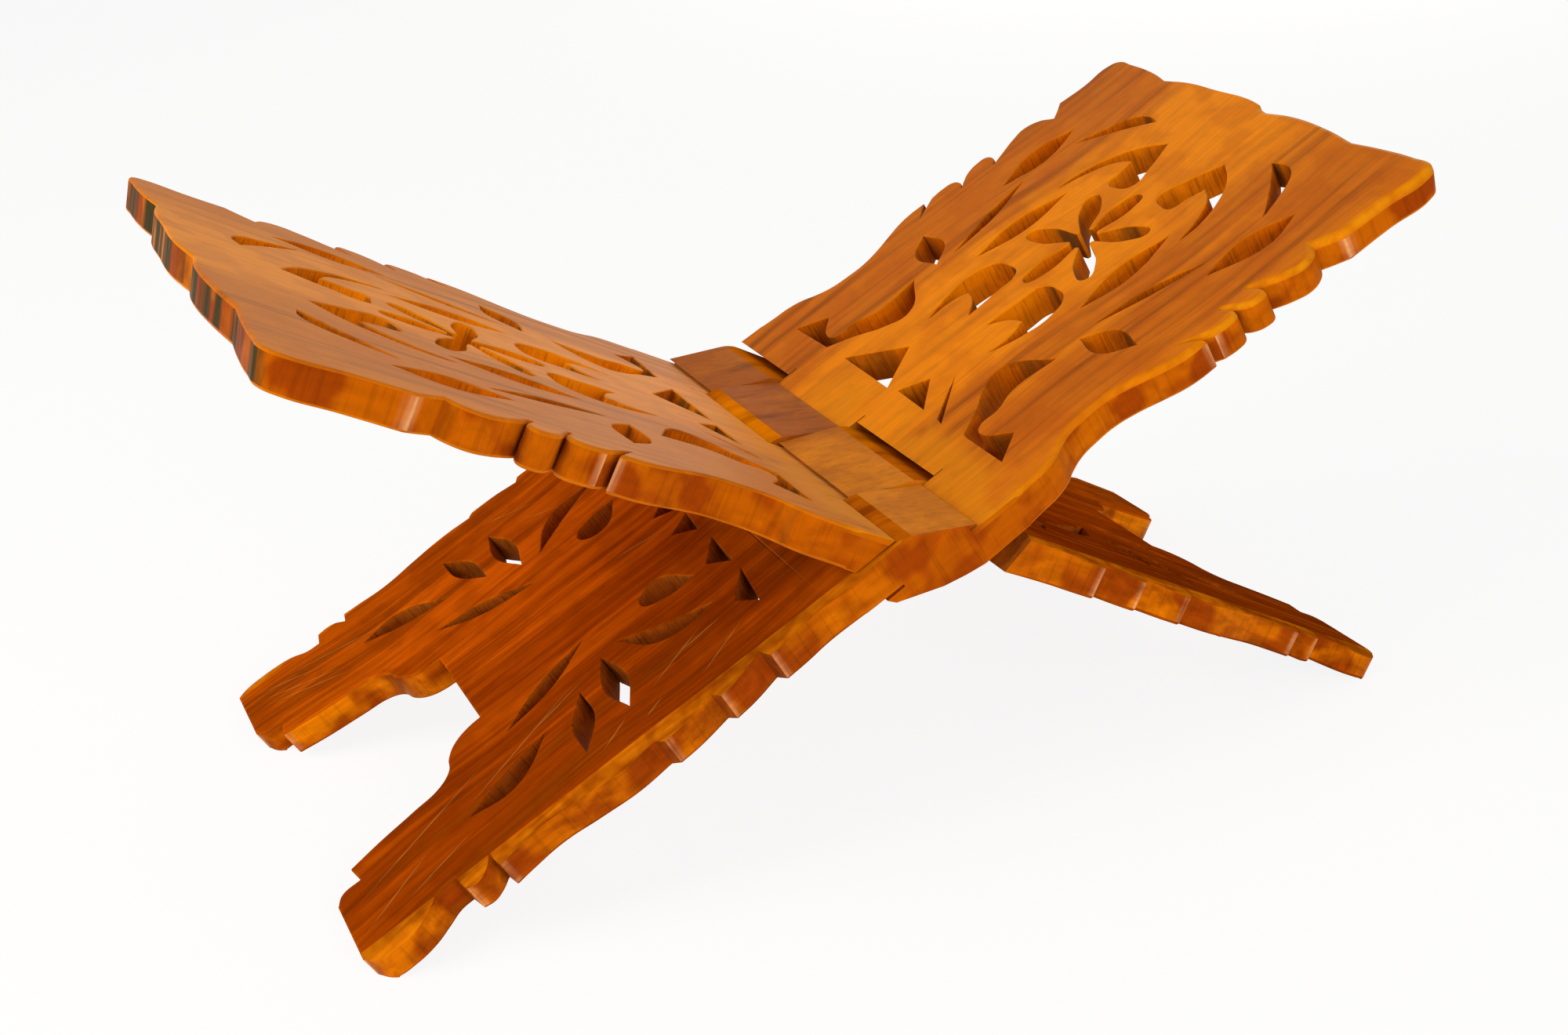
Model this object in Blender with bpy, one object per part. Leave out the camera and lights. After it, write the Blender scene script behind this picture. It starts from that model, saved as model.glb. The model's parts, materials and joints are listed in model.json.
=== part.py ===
"""Folding book stand: two fretted leaves of one plank, joined by knuckles cut from the wood itself."""

import math

import bmesh
import bpy
from mathutils import Matrix, Vector

MM = 0.001

# Plank: each leaf is half of it, measured from the hinge axis
LEAF_WIDTH = 184 * MM
HINGE_WIDTH = 183.5 * MM
UPPER_LENGTH = 203 * MM
LOWER_LENGTH = 197.5 * MM
HINGE_THICKNESS = 13 * MM
END_THICKNESS = 10.5 * MM

# Stance on the floor
OPEN_HALF_ANGLE = math.radians(62)
FOOT_TRIM = 2.4 * MM

# Saw cuts and clearances
KERF = 1 * MM
STOP_GAP = 0.35 * MM
SEAM_GAP = 0.5 * MM
WELD = 0.01 * MM

# Seams between the four knuckles, from the far end to the near end of the hinge
KNUCKLE_SEAMS = (51 * MM, -2.5 * MM, -56 * MM)

# Knuckle section, in shares of the thickness at the hinge
CREASE = 1.04
CREASE_SAW = 0.85
TOP_STEEPNESS = math.radians(58)
TOP_EASING = 0.27
UNDER_SAW = 1.13
UNDER_LIP = 1.65
UNDER_BELLY = ((0.23, -1.5), (0.73, -0.35), (0.89, 0.23), (1.0, 0.77))
NOTCH_INNER = 1.3
UNDER_NOTCH_INNER = 1.8
UNDER_NOTCH_OUTER = 2.15

# Long edges of the legs' outer faces, planed off from the hinge to the feet
FACET_WIDTH = 9.5 * MM
FACET_DEPTH = 2.4 * MM

# Hand sawing: the plan bows along the hinge, and the ends of the book rests slope in plan and in thickness
BOW = 2.3 * MM
END_SLOPE = 0.018
END_UNDERCUT = 0.22
END_ZONE = (0.88, 0.97)

ROUND = "AUTO"
SHARP = "VECTOR"
EDGE_STEPS = 3
HOLE_STEPS = 4

HALF_WIDTH = LEAF_WIDTH / 2
AXIS_HEIGHT = LOWER_LENGTH * math.cos(OPEN_HALF_ANGLE) - FOOT_TRIM
MARGIN = 0.15 * UPPER_LENGTH

# Outlines in percent of the half width and of the length from the hinge: the top and the scallops of each long
# edge of the book rest, then the waist and the leg, which are alike on both edges
FAR_EDGE = (
    (-6, 99.4, SHARP),
    (8, 100.6, ROUND),
    (30, 100.3, ROUND),
    (48, 99.9, ROUND),
    (61, 98.6, SHARP),
    (72, 99.5, ROUND),
    (89, 99.7, ROUND),
    (98.2, 99.3, ROUND),
    (100.6, 97.2, ROUND),
    (99, 91, ROUND),
    (99.5, 85.2, SHARP),
    (95.7, 83.5, ROUND),
    (91.8, 81.5, SHARP),
    (97.3, 79.8, ROUND),
    (100, 76.8, ROUND),
    (97.8, 73.4, ROUND),
    (94, 70, ROUND),
    (90, 66.5, SHARP),
    (95, 68, ROUND),
    (99, 67.5, ROUND),
    (99.6, 65.5, ROUND),
    (97.8, 62.8, ROUND),
    (94, 60.6, ROUND),
    (90, 58.9, SHARP),
    (94.6, 60, ROUND),
    (98.4, 59.4, ROUND),
    (99.5, 57, ROUND),
)
NEAR_EDGE = (
    (20, 100.4, ROUND),
    (40, 100.1, ROUND),
    (58, 98.9, SHARP),
    (72, 99.7, ROUND),
    (89, 100.2, ROUND),
    (98.2, 99.9, ROUND),
    (100.8, 97.8, ROUND),
    (99.6, 89, ROUND),
    (99.4, 80.6, SHARP),
    (97, 78.6, ROUND),
    (94, 76.4, SHARP),
    (97.6, 75, ROUND),
    (100, 72.2, ROUND),
    (98, 69, ROUND),
    (94.2, 66.2, ROUND),
    (90, 63.8, SHARP),
    (95, 65.2, ROUND),
    (99, 64.7, ROUND),
    (99.6, 62.9, ROUND),
    (97.8, 61.1, ROUND),
    (94, 59.7, ROUND),
    (90, 58.3, SHARP),
    (94.6, 59.5, ROUND),
    (98.4, 58.9, ROUND),
    (99.5, 56.8, ROUND),
)
WAIST = (
    (98.7, 54.2, SHARP),
    (90, 49, SHARP),
    (99, 52.5, SHARP),
    (99, 49.3, ROUND),
    (97.8, 46.3, ROUND),
    (95, 43, ROUND),
    (91.3, 39, ROUND),
    (89, 35, ROUND),
    (89, 31.5, ROUND),
    (90, 28, ROUND),
    (93, 25, ROUND),
    (96.4, 22.7, ROUND),
    (98.4, 20, ROUND),
    (99, 16.7, ROUND),
)
LOWER_EDGE = (
    (98.8, 21.4, ROUND),
    (99.6, 25.8, ROUND),
    (99.8, 29.6, SHARP),
    (95.7, 30.6, SHARP),
    (98.4, 35.3, ROUND),
    (99.3, 38.8, SHARP),
    (96, 39.8, SHARP),
    (98.4, 45.3, ROUND),
    (99, 49, SHARP),
    (96.2, 50.2, SHARP),
    (97.3, 56, ROUND),
    (95.7, 62.6, ROUND),
    (93.8, 69, ROUND),
    (95, 74.3, ROUND),
    (96.2, 77.4, SHARP),
    (90.8, 77.9, SHARP),
    (94, 79.4, ROUND),
    (96, 81.2, ROUND),
    (95.4, 83, SHARP),
    (88.5, 83.7, SHARP),
    (88.9, 85.8, ROUND),
    (92, 88.3, ROUND),
    (95.4, 91.2, ROUND),
    (97, 94.7, ROUND),
    (96.2, 98.2, ROUND),
    (92, 100, SHARP),
    (62, 100, SHARP),
    (57.8, 98.7, ROUND),
    (57, 95.4, SHARP),
    (49, 96, SHARP),
    (46.4, 90.6, ROUND),
    (44.3, 84, ROUND),
    (42.4, 79, ROUND),
    (38, 76.6, ROUND),
    (31.5, 75.5, ROUND),
    (26.6, 73.5, ROUND),
    (24, 70.7, ROUND),
    (23.4, 68.2, SHARP),
)

# Fretwork of one half of the book rest, in the same percentages
UPPER_FRET = {
    "wing": (
        (18.5, 85.2, SHARP),
        (29.3, 81.8, ROUND),
        (37, 76.8, ROUND),
        (41.3, 71.4, ROUND),
        (41.8, 67, SHARP),
        (37, 72.9, ROUND),
        (31, 77, ROUND),
        (24.5, 78.8, SHARP),
        (22.3, 75.4, ROUND),
        (20.7, 72.4, ROUND),
        (15.2, 72.2, ROUND),
        (9.2, 73.6, ROUND),
        (12, 78.8, ROUND),
    ),
    "spear": (
        (37.5, 88.9, SHARP),
        (44.6, 89.4, ROUND),
        (50.5, 88.2, ROUND),
        (57, 83.7, ROUND),
        (62.5, 77.8, SHARP),
        (54.3, 81.8, ROUND),
        (45.7, 85.7, ROUND),
    ),
    "side leaf": ((73, 80.8, SHARP), (78.3, 73, ROUND), (70, 63, SHARP), (65.8, 72, ROUND)),
    "vein": ((63.6, 66, SHARP), (59.2, 57, ROUND), (50.5, 45.8, SHARP), (54.3, 56.7, ROUND)),
    "blade": ((34.8, 67.5, SHARP), (41.3, 56.7, ROUND), (37, 47.3, SHARP), (31, 57, ROUND)),
    "claw": (
        (9.8, 48, ROUND),
        (17.4, 48.8, ROUND),
        (24.5, 47.8, ROUND),
        (28.8, 43.3, ROUND),
        (27.7, 38.4, ROUND),
        (22.3, 32, SHARP),
        (22.3, 37.4, ROUND),
        (19.6, 40.4, SHARP),
        (13.6, 39.4, ROUND),
        (6.5, 36.5, SHARP),
        (7.6, 42.4, ROUND),
    ),
    "cross leaf": ((52, 42.4, SHARP), (62, 47, ROUND), (77, 46.3, SHARP), (66.3, 41.6, ROUND)),
    "moon": (
        (52.7, 37.4, SHARP),
        (35.2, 31, ROUND),
        (38.6, 26.6, ROUND),
        (46.6, 22.2, ROUND),
        (53.4, 17.6, SHARP),
        (80.3, 17.4, SHARP),
        (71.5, 22.6, SHARP),
        (58.6, 19.4, ROUND),
        (55.2, 20.6, ROUND),
        (54.8, 24.2, ROUND),
        (51, 28.6, ROUND),
    ),
}

# Points beside the hinge: one on the far half, two on the near half
FAR_FRET = {"point": ((2.2, 17.4, SHARP), (15.4, 25.9, SHARP), (38.8, 17.7, SHARP))}
NEAR_FRET = {
    "point": ((3.8, 18, SHARP), (11.3, 22.9, SHARP), (25, 17.6, SHARP)),
    "slit": ((20.2, 25.9, SHARP), (34.9, 17.6, SHARP), (39.3, 17.2, SHARP)),
}

# Fretwork of one half of the leg
LOWER_FRET = {
    "inner point": ((2.7, 22.9, SHARP), (16.3, 23.4, SHARP), (8.2, 27.2, SHARP)),
    "middle point": ((26, 22.9, SHARP), (45.7, 23.4, SHARP), (37, 26.7, SHARP)),
    "outer point": ((52.2, 23.4, SHARP), (74, 25, SHARP), (65.2, 27.7, SHARP)),
    "tear": ((38, 29.3, SHARP), (37.5, 34.6, ROUND), (31, 38.4, ROUND), (24.5, 34.6, ROUND)),
    "hook": ((58.7, 29.5, SHARP), (56.5, 39.7, ROUND), (39.7, 44.8, SHARP), (49.5, 37.7, ROUND)),
    "upper leaf": ((41.3, 48.3, SHARP), (58.7, 47, ROUND), (74, 49.6, SHARP), (57.6, 51, ROUND)),
    "lower leaf": ((50, 54, SHARP), (66.3, 54.5, ROUND), (79.3, 58.5, SHARP), (63.6, 58, ROUND)),
    "slit": ((25, 48.3, SHARP), (37, 57, ROUND), (41.3, 66.2, SHARP), (30.4, 58.5, ROUND)),
    "foot leaf": ((55.4, 61.3, SHARP), (70, 69.7, ROUND), (67.4, 77.4, SHARP), (60.3, 70.7, ROUND)),
}

# Six-petalled flower in the middle of the book rest: headings set out by eye, sizes in shares of the half width
PETAL_HEADINGS = (0, 46, 108, 178, 236, 301)
TOOTH_ANGLE = 8
FLOWER_PLACE = 0.6
FLOWER_REACH = 0.285
FLOWER_HEART = 0.055
PETAL_SHOULDER = 0.72
PETAL_SPREAD = 0.085


def clear_scene():
    """Start from an empty file."""
    for item in list(bpy.data.objects):
        bpy.data.objects.remove(item, do_unlink=True)


def new_collection(name):
    """Collection linked to the scene."""
    group = bpy.data.collections.new(name)
    bpy.context.scene.collection.children.link(group)
    return group


def wood(name, colour):
    """Plain oiled wood for one leaf."""
    material = bpy.data.materials.new(name)
    material.use_nodes = True
    shader = material.node_tree.nodes["Principled BSDF"]
    shader.inputs["Base Color"].default_value = (*colour, 1)
    shader.inputs["Roughness"].default_value = 0.45
    return material


def curve_mesh(outlines, half_depth, matrix):
    """Closed mesh of a filled flat curve, extruded both ways and turned by a matrix.

    The first outline is the rim, the others are holes in it. Each is a pair of knots and steps per span.
    """
    data = bpy.data.curves.new("outline", "CURVE")
    data.dimensions = "2D"
    data.fill_mode = "BOTH"
    data.extrude = half_depth
    for knots, steps in outlines:
        spline = data.splines.new("BEZIER")
        spline.bezier_points.add(len(knots) - 1)
        spline.use_cyclic_u = True
        spline.resolution_u = steps
        for point, (across, along, handle) in zip(spline.bezier_points, knots):
            point.co = (across, along, 0)
            point.handle_left_type = handle
            point.handle_right_type = handle
    item = bpy.data.objects.new("outline", data)
    bpy.context.scene.collection.objects.link(item)
    graph = bpy.context.evaluated_depsgraph_get()
    mesh = bpy.data.meshes.new_from_object(item.evaluated_get(graph))
    bpy.data.objects.remove(item, do_unlink=True)
    shape = bmesh.new()
    shape.from_mesh(mesh)
    bmesh.ops.remove_doubles(shape, verts=shape.verts, dist=WELD)
    bmesh.ops.transform(shape, matrix=matrix, verts=shape.verts)
    bmesh.ops.recalc_face_normals(shape, faces=shape.faces)
    shape.to_mesh(mesh)
    shape.free()
    return mesh


def mirrored(knots):
    """The same knots on the other side of the centre line, run backwards."""
    return [(-across, along, handle) for across, along, handle in reversed(knots)]


def scaled(knots, length):
    """Knots in metres from percentages of the half width and of a length from the hinge."""
    return [(a * HALF_WIDTH / 100, b * length / 100, handle) for a, b, handle in knots]


def plan_rim():
    """Outline of a whole leaf, seen square to its face."""
    hinge = [(HINGE_WIDTH / 2, UNDER_NOTCH_OUTER * end * HINGE_THICKNESS, SHARP) for end in (1, -1)]
    below = scaled(WAIST, UPPER_LENGTH) + hinge + scaled(LOWER_EDGE, -LOWER_LENGTH)
    far = scaled(FAR_EDGE, UPPER_LENGTH) + below
    near = scaled(NEAR_EDGE, UPPER_LENGTH) + below
    return far + mirrored(near)


def flower():
    """Six petals that open into one another at the heart."""
    knots = []
    following = (*PETAL_HEADINGS[1:], PETAL_HEADINGS[0] + 360)
    for petal, neighbour in zip(PETAL_HEADINGS, following):
        heading = math.radians(petal)
        valley = (petal + neighbour) / 2
        out = Vector((math.sin(heading), math.cos(heading)))
        aside = Vector((math.cos(heading), -math.sin(heading))) * PETAL_SPREAD / 2
        shoulder = out * FLOWER_REACH * PETAL_SHOULDER
        for place in (shoulder - aside, out * FLOWER_REACH, shoulder + aside):
            knots.append((place.x, place.y, ROUND))
        for corner in (math.radians(valley - TOOTH_ANGLE), math.radians(valley + TOOTH_ANGLE)):
            knots.append((math.sin(corner) * FLOWER_HEART, math.cos(corner) * FLOWER_HEART, SHARP))
    centre = FLOWER_PLACE * UPPER_LENGTH
    return [(a * HALF_WIDTH, centre + b * HALF_WIDTH, handle) for a, b, handle in knots]


def fretwork():
    """Every opening sawn through a leaf."""
    holes = [flower()]
    holes += [scaled(knots, UPPER_LENGTH) for knots in FAR_FRET.values()]
    holes += [mirrored(scaled(knots, UPPER_LENGTH)) for knots in NEAR_FRET.values()]
    for cuts, length in ((UPPER_FRET, UPPER_LENGTH), (LOWER_FRET, -LOWER_LENGTH)):
        for knots in cuts.values():
            hole = scaled(knots, length)
            holes.append(hole)
            holes.append(mirrored(hole))
    return holes


def hand_sawn(knots):
    """Knots moved to where the saw really went: bowed along the hinge, and the top end out of square."""
    moved = []
    for across, along, handle in knots:
        share = along / (UPPER_LENGTH if along > 0 else LOWER_LENGTH)
        slope = END_SLOPE * max(share, 0) ** 2
        moved.append((across + BOW * math.sin(math.pi * share), along + slope * across, handle))
    return moved


def undercut(mesh, side):
    """Slope the end of the book rest so that its outer face is shorter than its inner face."""
    first, last = (share * UPPER_LENGTH for share in END_ZONE)
    shape = bmesh.new()
    shape.from_mesh(mesh)
    end_faces = [face for face in shape.faces if max(vertex.co.z for vertex in face.verts) > first]
    bmesh.ops.triangulate(shape, faces=end_faces)
    for vertex in shape.verts:
        share = min(max((vertex.co.z - first) / (last - first), 0), 1)
        vertex.co.z -= share * END_UNDERCUT * side * vertex.co.x
    shape.to_mesh(mesh)
    shape.free()


def outer_face(height):
    """Distance of the outer face from the saw cut at a height along the leaf, thinning to the end."""
    length = UPPER_LENGTH if height > 0 else LOWER_LENGTH
    start = UNDER_NOTCH_OUTER * HINGE_THICKNESS
    share = (abs(height) - start) / (length - start)
    return HINGE_THICKNESS + (END_THICKNESS - HINGE_THICKNESS) * max(share, 0)


def leaf_section():
    """Section of the right leaf across the hinge: book rest, knuckle and leg in one line."""
    thick = HINGE_THICKNESS
    half_kerf = KERF / 2
    start = UNDER_NOTCH_OUTER * thick
    top = UPPER_LENGTH + MARGIN
    bottom = -LOWER_LENGTH - MARGIN
    corner = CREASE * thick - (thick - half_kerf) * math.tan(TOP_STEEPNESS)
    easing = TOP_EASING * thick
    half_turn = (math.pi / 2 - TOP_STEEPNESS) / 2
    sag = easing * (1 - math.cos(half_turn)) / math.sin(half_turn)
    points = [
        (half_kerf, top),
        (half_kerf, CREASE_SAW * thick),
        (-half_kerf, CREASE_SAW * thick),
        (-half_kerf, CREASE * thick),
        (easing * math.cos(TOP_STEEPNESS) - thick, corner + easing * math.sin(TOP_STEEPNESS)),
        (sag * math.cos(half_turn) - thick, corner - sag * math.sin(half_turn)),
        (-thick, corner - easing),
        (-thick, -start),
        (-outer_face(bottom), bottom),
        (-half_kerf, bottom),
        (-half_kerf, -UNDER_SAW * thick),
        (half_kerf, -UNDER_SAW * thick),
        (half_kerf, -UNDER_LIP * thick),
    ]
    points += [(a * thick, b * thick) for a, b in UNDER_BELLY]
    points += [(thick, start), (outer_face(top), top)]
    return points


def slot_section():
    """Room that the right leaf leaves for a knuckle of the other leaf.

    The outer corner of the book rest above it comes to bear on the other leg: that is the open stop.
    """
    thick = HINGE_THICKNESS
    half_kerf = KERF / 2
    turn = 2 * OPEN_HALF_ANGLE - math.pi / 2
    stop = (thick + STOP_GAP + thick * math.sin(turn)) / math.cos(turn)
    slope = (stop - NOTCH_INNER * thick) / (thick - half_kerf)
    under = (UNDER_NOTCH_OUTER - UNDER_NOTCH_INNER) * thick / (thick - half_kerf)
    reach = 1.2 * thick
    above = [(a, NOTCH_INNER * thick + slope * (a - half_kerf)) for a in (-reach, reach)]
    below = [(a, -UNDER_NOTCH_INNER * thick + under * (a + half_kerf)) for a in (reach, -reach)]
    return above + below


def cutter(name, mesh, owner, group):
    """Cutting solid that rides with its leaf and is never rendered."""
    item = bpy.data.objects.new(name, mesh)
    item.parent = owner
    item.hide_render = True
    item.display_type = "WIRE"
    group.objects.link(item)
    return item


def cut(leaf, tool, operation):
    """Boolean between a leaf and a cutting solid."""
    step = leaf.modifiers.new(tool.name, "BOOLEAN")
    step.operation = operation
    step.solver = "EXACT"
    step.object = tool


def block_mesh(size, matrix):
    """Rectangular block standing on the origin of a matrix."""
    mesh = bpy.data.meshes.new("block")
    shape = bmesh.new()
    stretch = Matrix.Diagonal((*size, 1))
    lift = Matrix.Translation((0, 0, size[2] / 2))
    bmesh.ops.create_cube(shape, size=1, matrix=matrix @ lift @ stretch)
    shape.to_mesh(mesh)
    shape.free()
    return mesh


def facet_block(side, edge):
    """Block whose foot is the planed facet along one long edge of a leg's outer face."""
    outward = -side
    edge_out = edge * HALF_WIDTH
    first = Vector((outward * HINGE_THICKNESS, edge_out, 0))
    second = Vector((outward * END_THICKNESS, edge_out - edge * FACET_WIDTH, -LOWER_LENGTH))
    third = Vector((outward * (END_THICKNESS - FACET_DEPTH), edge_out, -LOWER_LENGTH))
    normal = (second - first).cross(third - first).normalized()
    if normal.x * outward < 0:
        normal.negate()
    turn = normal.to_track_quat("Z", "Y").to_matrix().to_4x4()
    size = (2 * UPPER_LENGTH, 2 * UPPER_LENGTH, MARGIN)
    return block_mesh(size, Matrix.Translation((first + second + third) / 3) @ turn)


def build_leaf(name, side, colour, parts, tools, floor):
    """One leaf, opened about the hinge axis. Side is 1 for the right book rest and -1 for the left."""
    face_on = Matrix(((0, 0, 1, 0), (1, 0, 0, 0), (0, 1, 0, 0), (0, 0, 0, 1)))
    end_on = Matrix(((1, 0, 0, 0), (0, 0, -1, 0), (0, 1, 0, 0), (0, 0, 0, 1)))
    outlines = [(hand_sawn(plan_rim()), EDGE_STEPS)]
    outlines += [(hand_sawn(hole), HOLE_STEPS) for hole in fretwork()]
    leaf = bpy.data.objects.new(name, curve_mesh(outlines, 1.2 * HINGE_THICKNESS, face_on))
    undercut(leaf.data, side)
    leaf.data.name = name
    leaf.data.materials.append(wood(name + " wood", colour))
    leaf.location = (0, 0, AXIS_HEIGHT)
    leaf.rotation_euler = (0, side * OPEN_HALF_ANGLE, 0)
    parts.objects.link(leaf)

    section = [(side * a, b, SHARP) for a, b in leaf_section()]
    section_mesh = curve_mesh([(section, 1)], LEAF_WIDTH, end_on)
    cut(leaf, cutter(name + " section", section_mesh, leaf, tools), "INTERSECT")

    far_end = LEAF_WIDTH
    seams = (far_end, *KNUCKLE_SEAMS, -far_end)
    first = 0 if side > 0 else 1
    slot = [(side * a, b, SHARP) for a, b in slot_section()]
    for index in range(first, len(seams) - 1, 2):
        high = seams[index] + SEAM_GAP / 2
        low = seams[index + 1] - SEAM_GAP / 2
        middle = Matrix.Translation((0, (high + low) / 2, 0))
        mesh = curve_mesh([(slot, 1)], (high - low) / 2, middle @ end_on)
        cut(leaf, cutter(f"{name} slot {index + 1}", mesh, leaf, tools), "DIFFERENCE")

    for edge, place in ((1, "far"), (-1, "near")):
        cut(leaf, cutter(f"{name} {place} facet", facet_block(side, edge), leaf, tools), "DIFFERENCE")
    cut(leaf, floor, "DIFFERENCE")
    return leaf


def main():
    """Build the stand, open on the floor."""
    clear_scene()
    parts = new_collection("folding book stand")
    tools = new_collection("cutters")
    size = (4 * UPPER_LENGTH, 4 * UPPER_LENGTH, MARGIN)
    floor = cutter("floor", block_mesh(size, Matrix.Translation((0, 0, -MARGIN))), None, tools)
    build_leaf("left_leaf", -1, (0.42, 0.16, 0.03), parts, tools, floor)
    build_leaf("right_leaf", 1, (0.46, 0.18, 0.03), parts, tools, floor)


main()
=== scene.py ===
"""Looks of the folding book stand: fretted leaves, their varnished wood, and the studio round them."""

import json
import logging
import math
from collections.abc import Iterator
from contextlib import contextmanager
from dataclasses import dataclass, replace
from enum import Enum, IntEnum
from typing import NamedTuple

import bmesh
import bpy
from mathutils import Matrix, Vector


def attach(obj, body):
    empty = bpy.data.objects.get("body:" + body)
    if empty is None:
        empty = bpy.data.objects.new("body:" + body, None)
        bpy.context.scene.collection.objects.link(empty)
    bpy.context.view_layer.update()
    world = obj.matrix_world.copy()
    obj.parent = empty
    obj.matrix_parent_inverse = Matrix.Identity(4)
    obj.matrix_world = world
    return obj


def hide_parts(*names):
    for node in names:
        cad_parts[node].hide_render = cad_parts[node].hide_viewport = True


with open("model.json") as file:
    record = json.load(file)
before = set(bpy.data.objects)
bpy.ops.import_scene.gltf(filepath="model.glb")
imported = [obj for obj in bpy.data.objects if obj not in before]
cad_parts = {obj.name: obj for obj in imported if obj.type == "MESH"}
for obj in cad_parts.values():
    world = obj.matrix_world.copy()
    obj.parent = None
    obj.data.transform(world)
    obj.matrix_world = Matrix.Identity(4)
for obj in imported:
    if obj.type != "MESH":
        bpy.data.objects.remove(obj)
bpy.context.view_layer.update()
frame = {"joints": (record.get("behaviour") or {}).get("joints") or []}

LOG = logging.getLogger("book_stand")
MM = 0.001

Knot = tuple[float, float, "Corner"]
Pair = tuple[float, float]


class Corner(Enum):
    """How an outline passes through a knot: the type of its curve handles."""

    ROUND = "AUTO"
    SHARP = "VECTOR"


class Surface(IntEnum):
    """Surfaces of a leaf, in the order of its material slots; an eased edge ends up as part of its face."""

    FACE = 0
    RIM = 1
    FRET = 2
    HINGE = 3
    LEG = 4
    EASED = 5


R = Corner.ROUND
S = Corner.SHARP

# Outlines in percent of the half width and of the length from the hinge: the top and the scallops of each
# long edge of the book rest, then the waist and the leg, which are alike on both edges
FAR_EDGE: tuple[Knot, ...] = (
    (-6, 99.4, S), (8, 100.6, R), (30, 100.3, R), (48, 99.9, R), (61, 98.6, S), (72, 99.5, R),
    (89, 99.7, R), (98.2, 99.3, R), (100.6, 97.2, R), (99, 91, R), (99.5, 85.2, S), (95.7, 83.5, R),
    (91.8, 81.5, S), (97.3, 79.8, R), (100, 76.8, R), (97.8, 73.4, R), (94, 70, R), (90, 66.5, S),
    (95, 68, R), (99, 67.5, R), (99.6, 65.5, R), (97.8, 62.8, R), (94, 60.6, R), (90, 58.9, S),
    (94.6, 60, R), (98.4, 59.4, R), (99.5, 57, R),
)
NEAR_EDGE: tuple[Knot, ...] = (
    (20, 100.4, R), (40, 100.1, R), (58, 98.9, S), (72, 99.7, R), (89, 100.2, R), (98.2, 99.9, R),
    (100.8, 97.8, R), (99.6, 89, R), (99.4, 80.6, S), (97, 78.6, R), (94, 76.4, S), (97.6, 75, R),
    (100, 72.2, R), (98, 69, R), (94.2, 66.2, R), (90, 63.8, S), (95, 65.2, R), (99, 64.7, R),
    (99.6, 62.9, R), (97.8, 61.1, R), (94, 59.7, R), (90, 58.3, S), (94.6, 59.5, R), (98.4, 58.9, R),
    (99.5, 56.8, R),
)
WAIST: tuple[Knot, ...] = (
    (98.7, 54.2, S), (90, 49, S), (99, 52.5, S), (99, 49.3, R), (97.8, 46.3, R), (95, 43, R), (91.3, 39, R),
    (89, 35, R), (89, 31.5, R), (90, 28, R), (93, 25, R), (96.4, 22.7, R), (98.4, 20, R), (99, 16.7, R),
)
LOWER_EDGE: tuple[Knot, ...] = (
    (98.8, 21.4, R), (99.6, 25.8, R), (99.8, 29.6, S), (95.7, 30.6, S), (98.4, 35.3, R), (99.3, 38.8, S),
    (96, 39.8, S), (98.4, 45.3, R), (99, 49, S), (96.2, 50.2, S), (97.3, 56, R), (95.7, 62.6, R),
    (93.8, 69, R), (95, 74.3, R), (96.2, 77.4, S), (90.8, 77.9, S), (94, 79.4, R), (96, 81.2, R),
    (95.4, 83, S), (88.5, 83.7, S), (88.9, 85.8, R), (92, 88.3, R), (95.4, 91.2, R), (97, 94.7, R),
    (96.2, 98.2, R), (92, 100, S), (62, 100, S), (57.8, 98.7, R), (57, 95.4, S), (49, 96, S),
    (46.4, 90.6, R), (44.3, 84, R), (42.4, 79, R), (38, 76.6, R), (31.5, 75.5, R), (26.6, 73.5, R),
    (24, 70.7, R), (23.4, 68.2, S),
)

# Fretwork of one half of the book rest and of the leg, in the same percentages
UPPER_FRET: dict[str, tuple[Knot, ...]] = {
    "wing": (
        (18.5, 85.2, S), (29.3, 81.8, R), (37, 76.8, R), (41.3, 71.4, R), (41.8, 67, S), (37, 72.9, R),
        (31, 77, R), (24.5, 78.8, S), (22.3, 75.4, R), (20.7, 72.4, R), (15.2, 72.2, R), (9.2, 73.6, R),
        (12, 78.8, R),
    ),
    "spear": (
        (37.5, 88.9, S), (44.6, 89.4, R), (50.5, 88.2, R), (57, 83.7, R), (62.5, 77.8, S), (54.3, 81.8, R),
        (45.7, 85.7, R),
    ),
    "side leaf": ((73, 80.8, S), (78.3, 73, R), (70, 63, S), (65.8, 72, R)),
    "vein": ((63.6, 66, S), (59.2, 57, R), (50.5, 45.8, S), (54.3, 56.7, R)),
    "blade": ((34.8, 67.5, S), (41.3, 56.7, R), (37, 47.3, S), (31, 57, R)),
    "claw": (
        (9.8, 48, R), (17.4, 48.8, R), (24.5, 47.8, R), (28.8, 43.3, R), (27.7, 38.4, R), (22.3, 32, S),
        (22.3, 37.4, R), (19.6, 40.4, S), (13.6, 39.4, R), (6.5, 36.5, S), (7.6, 42.4, R),
    ),
    "cross leaf": ((52, 42.4, S), (62, 47, R), (77, 46.3, S), (66.3, 41.6, R)),
    "moon": (
        (52.7, 37.4, S), (35.2, 31, R), (38.6, 26.6, R), (46.6, 22.2, R), (53.4, 17.6, S), (80.3, 17.4, S),
        (71.5, 22.6, S), (58.6, 19.4, R), (55.2, 20.6, R), (54.8, 24.2, R), (51, 28.6, R),
    ),
}
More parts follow.
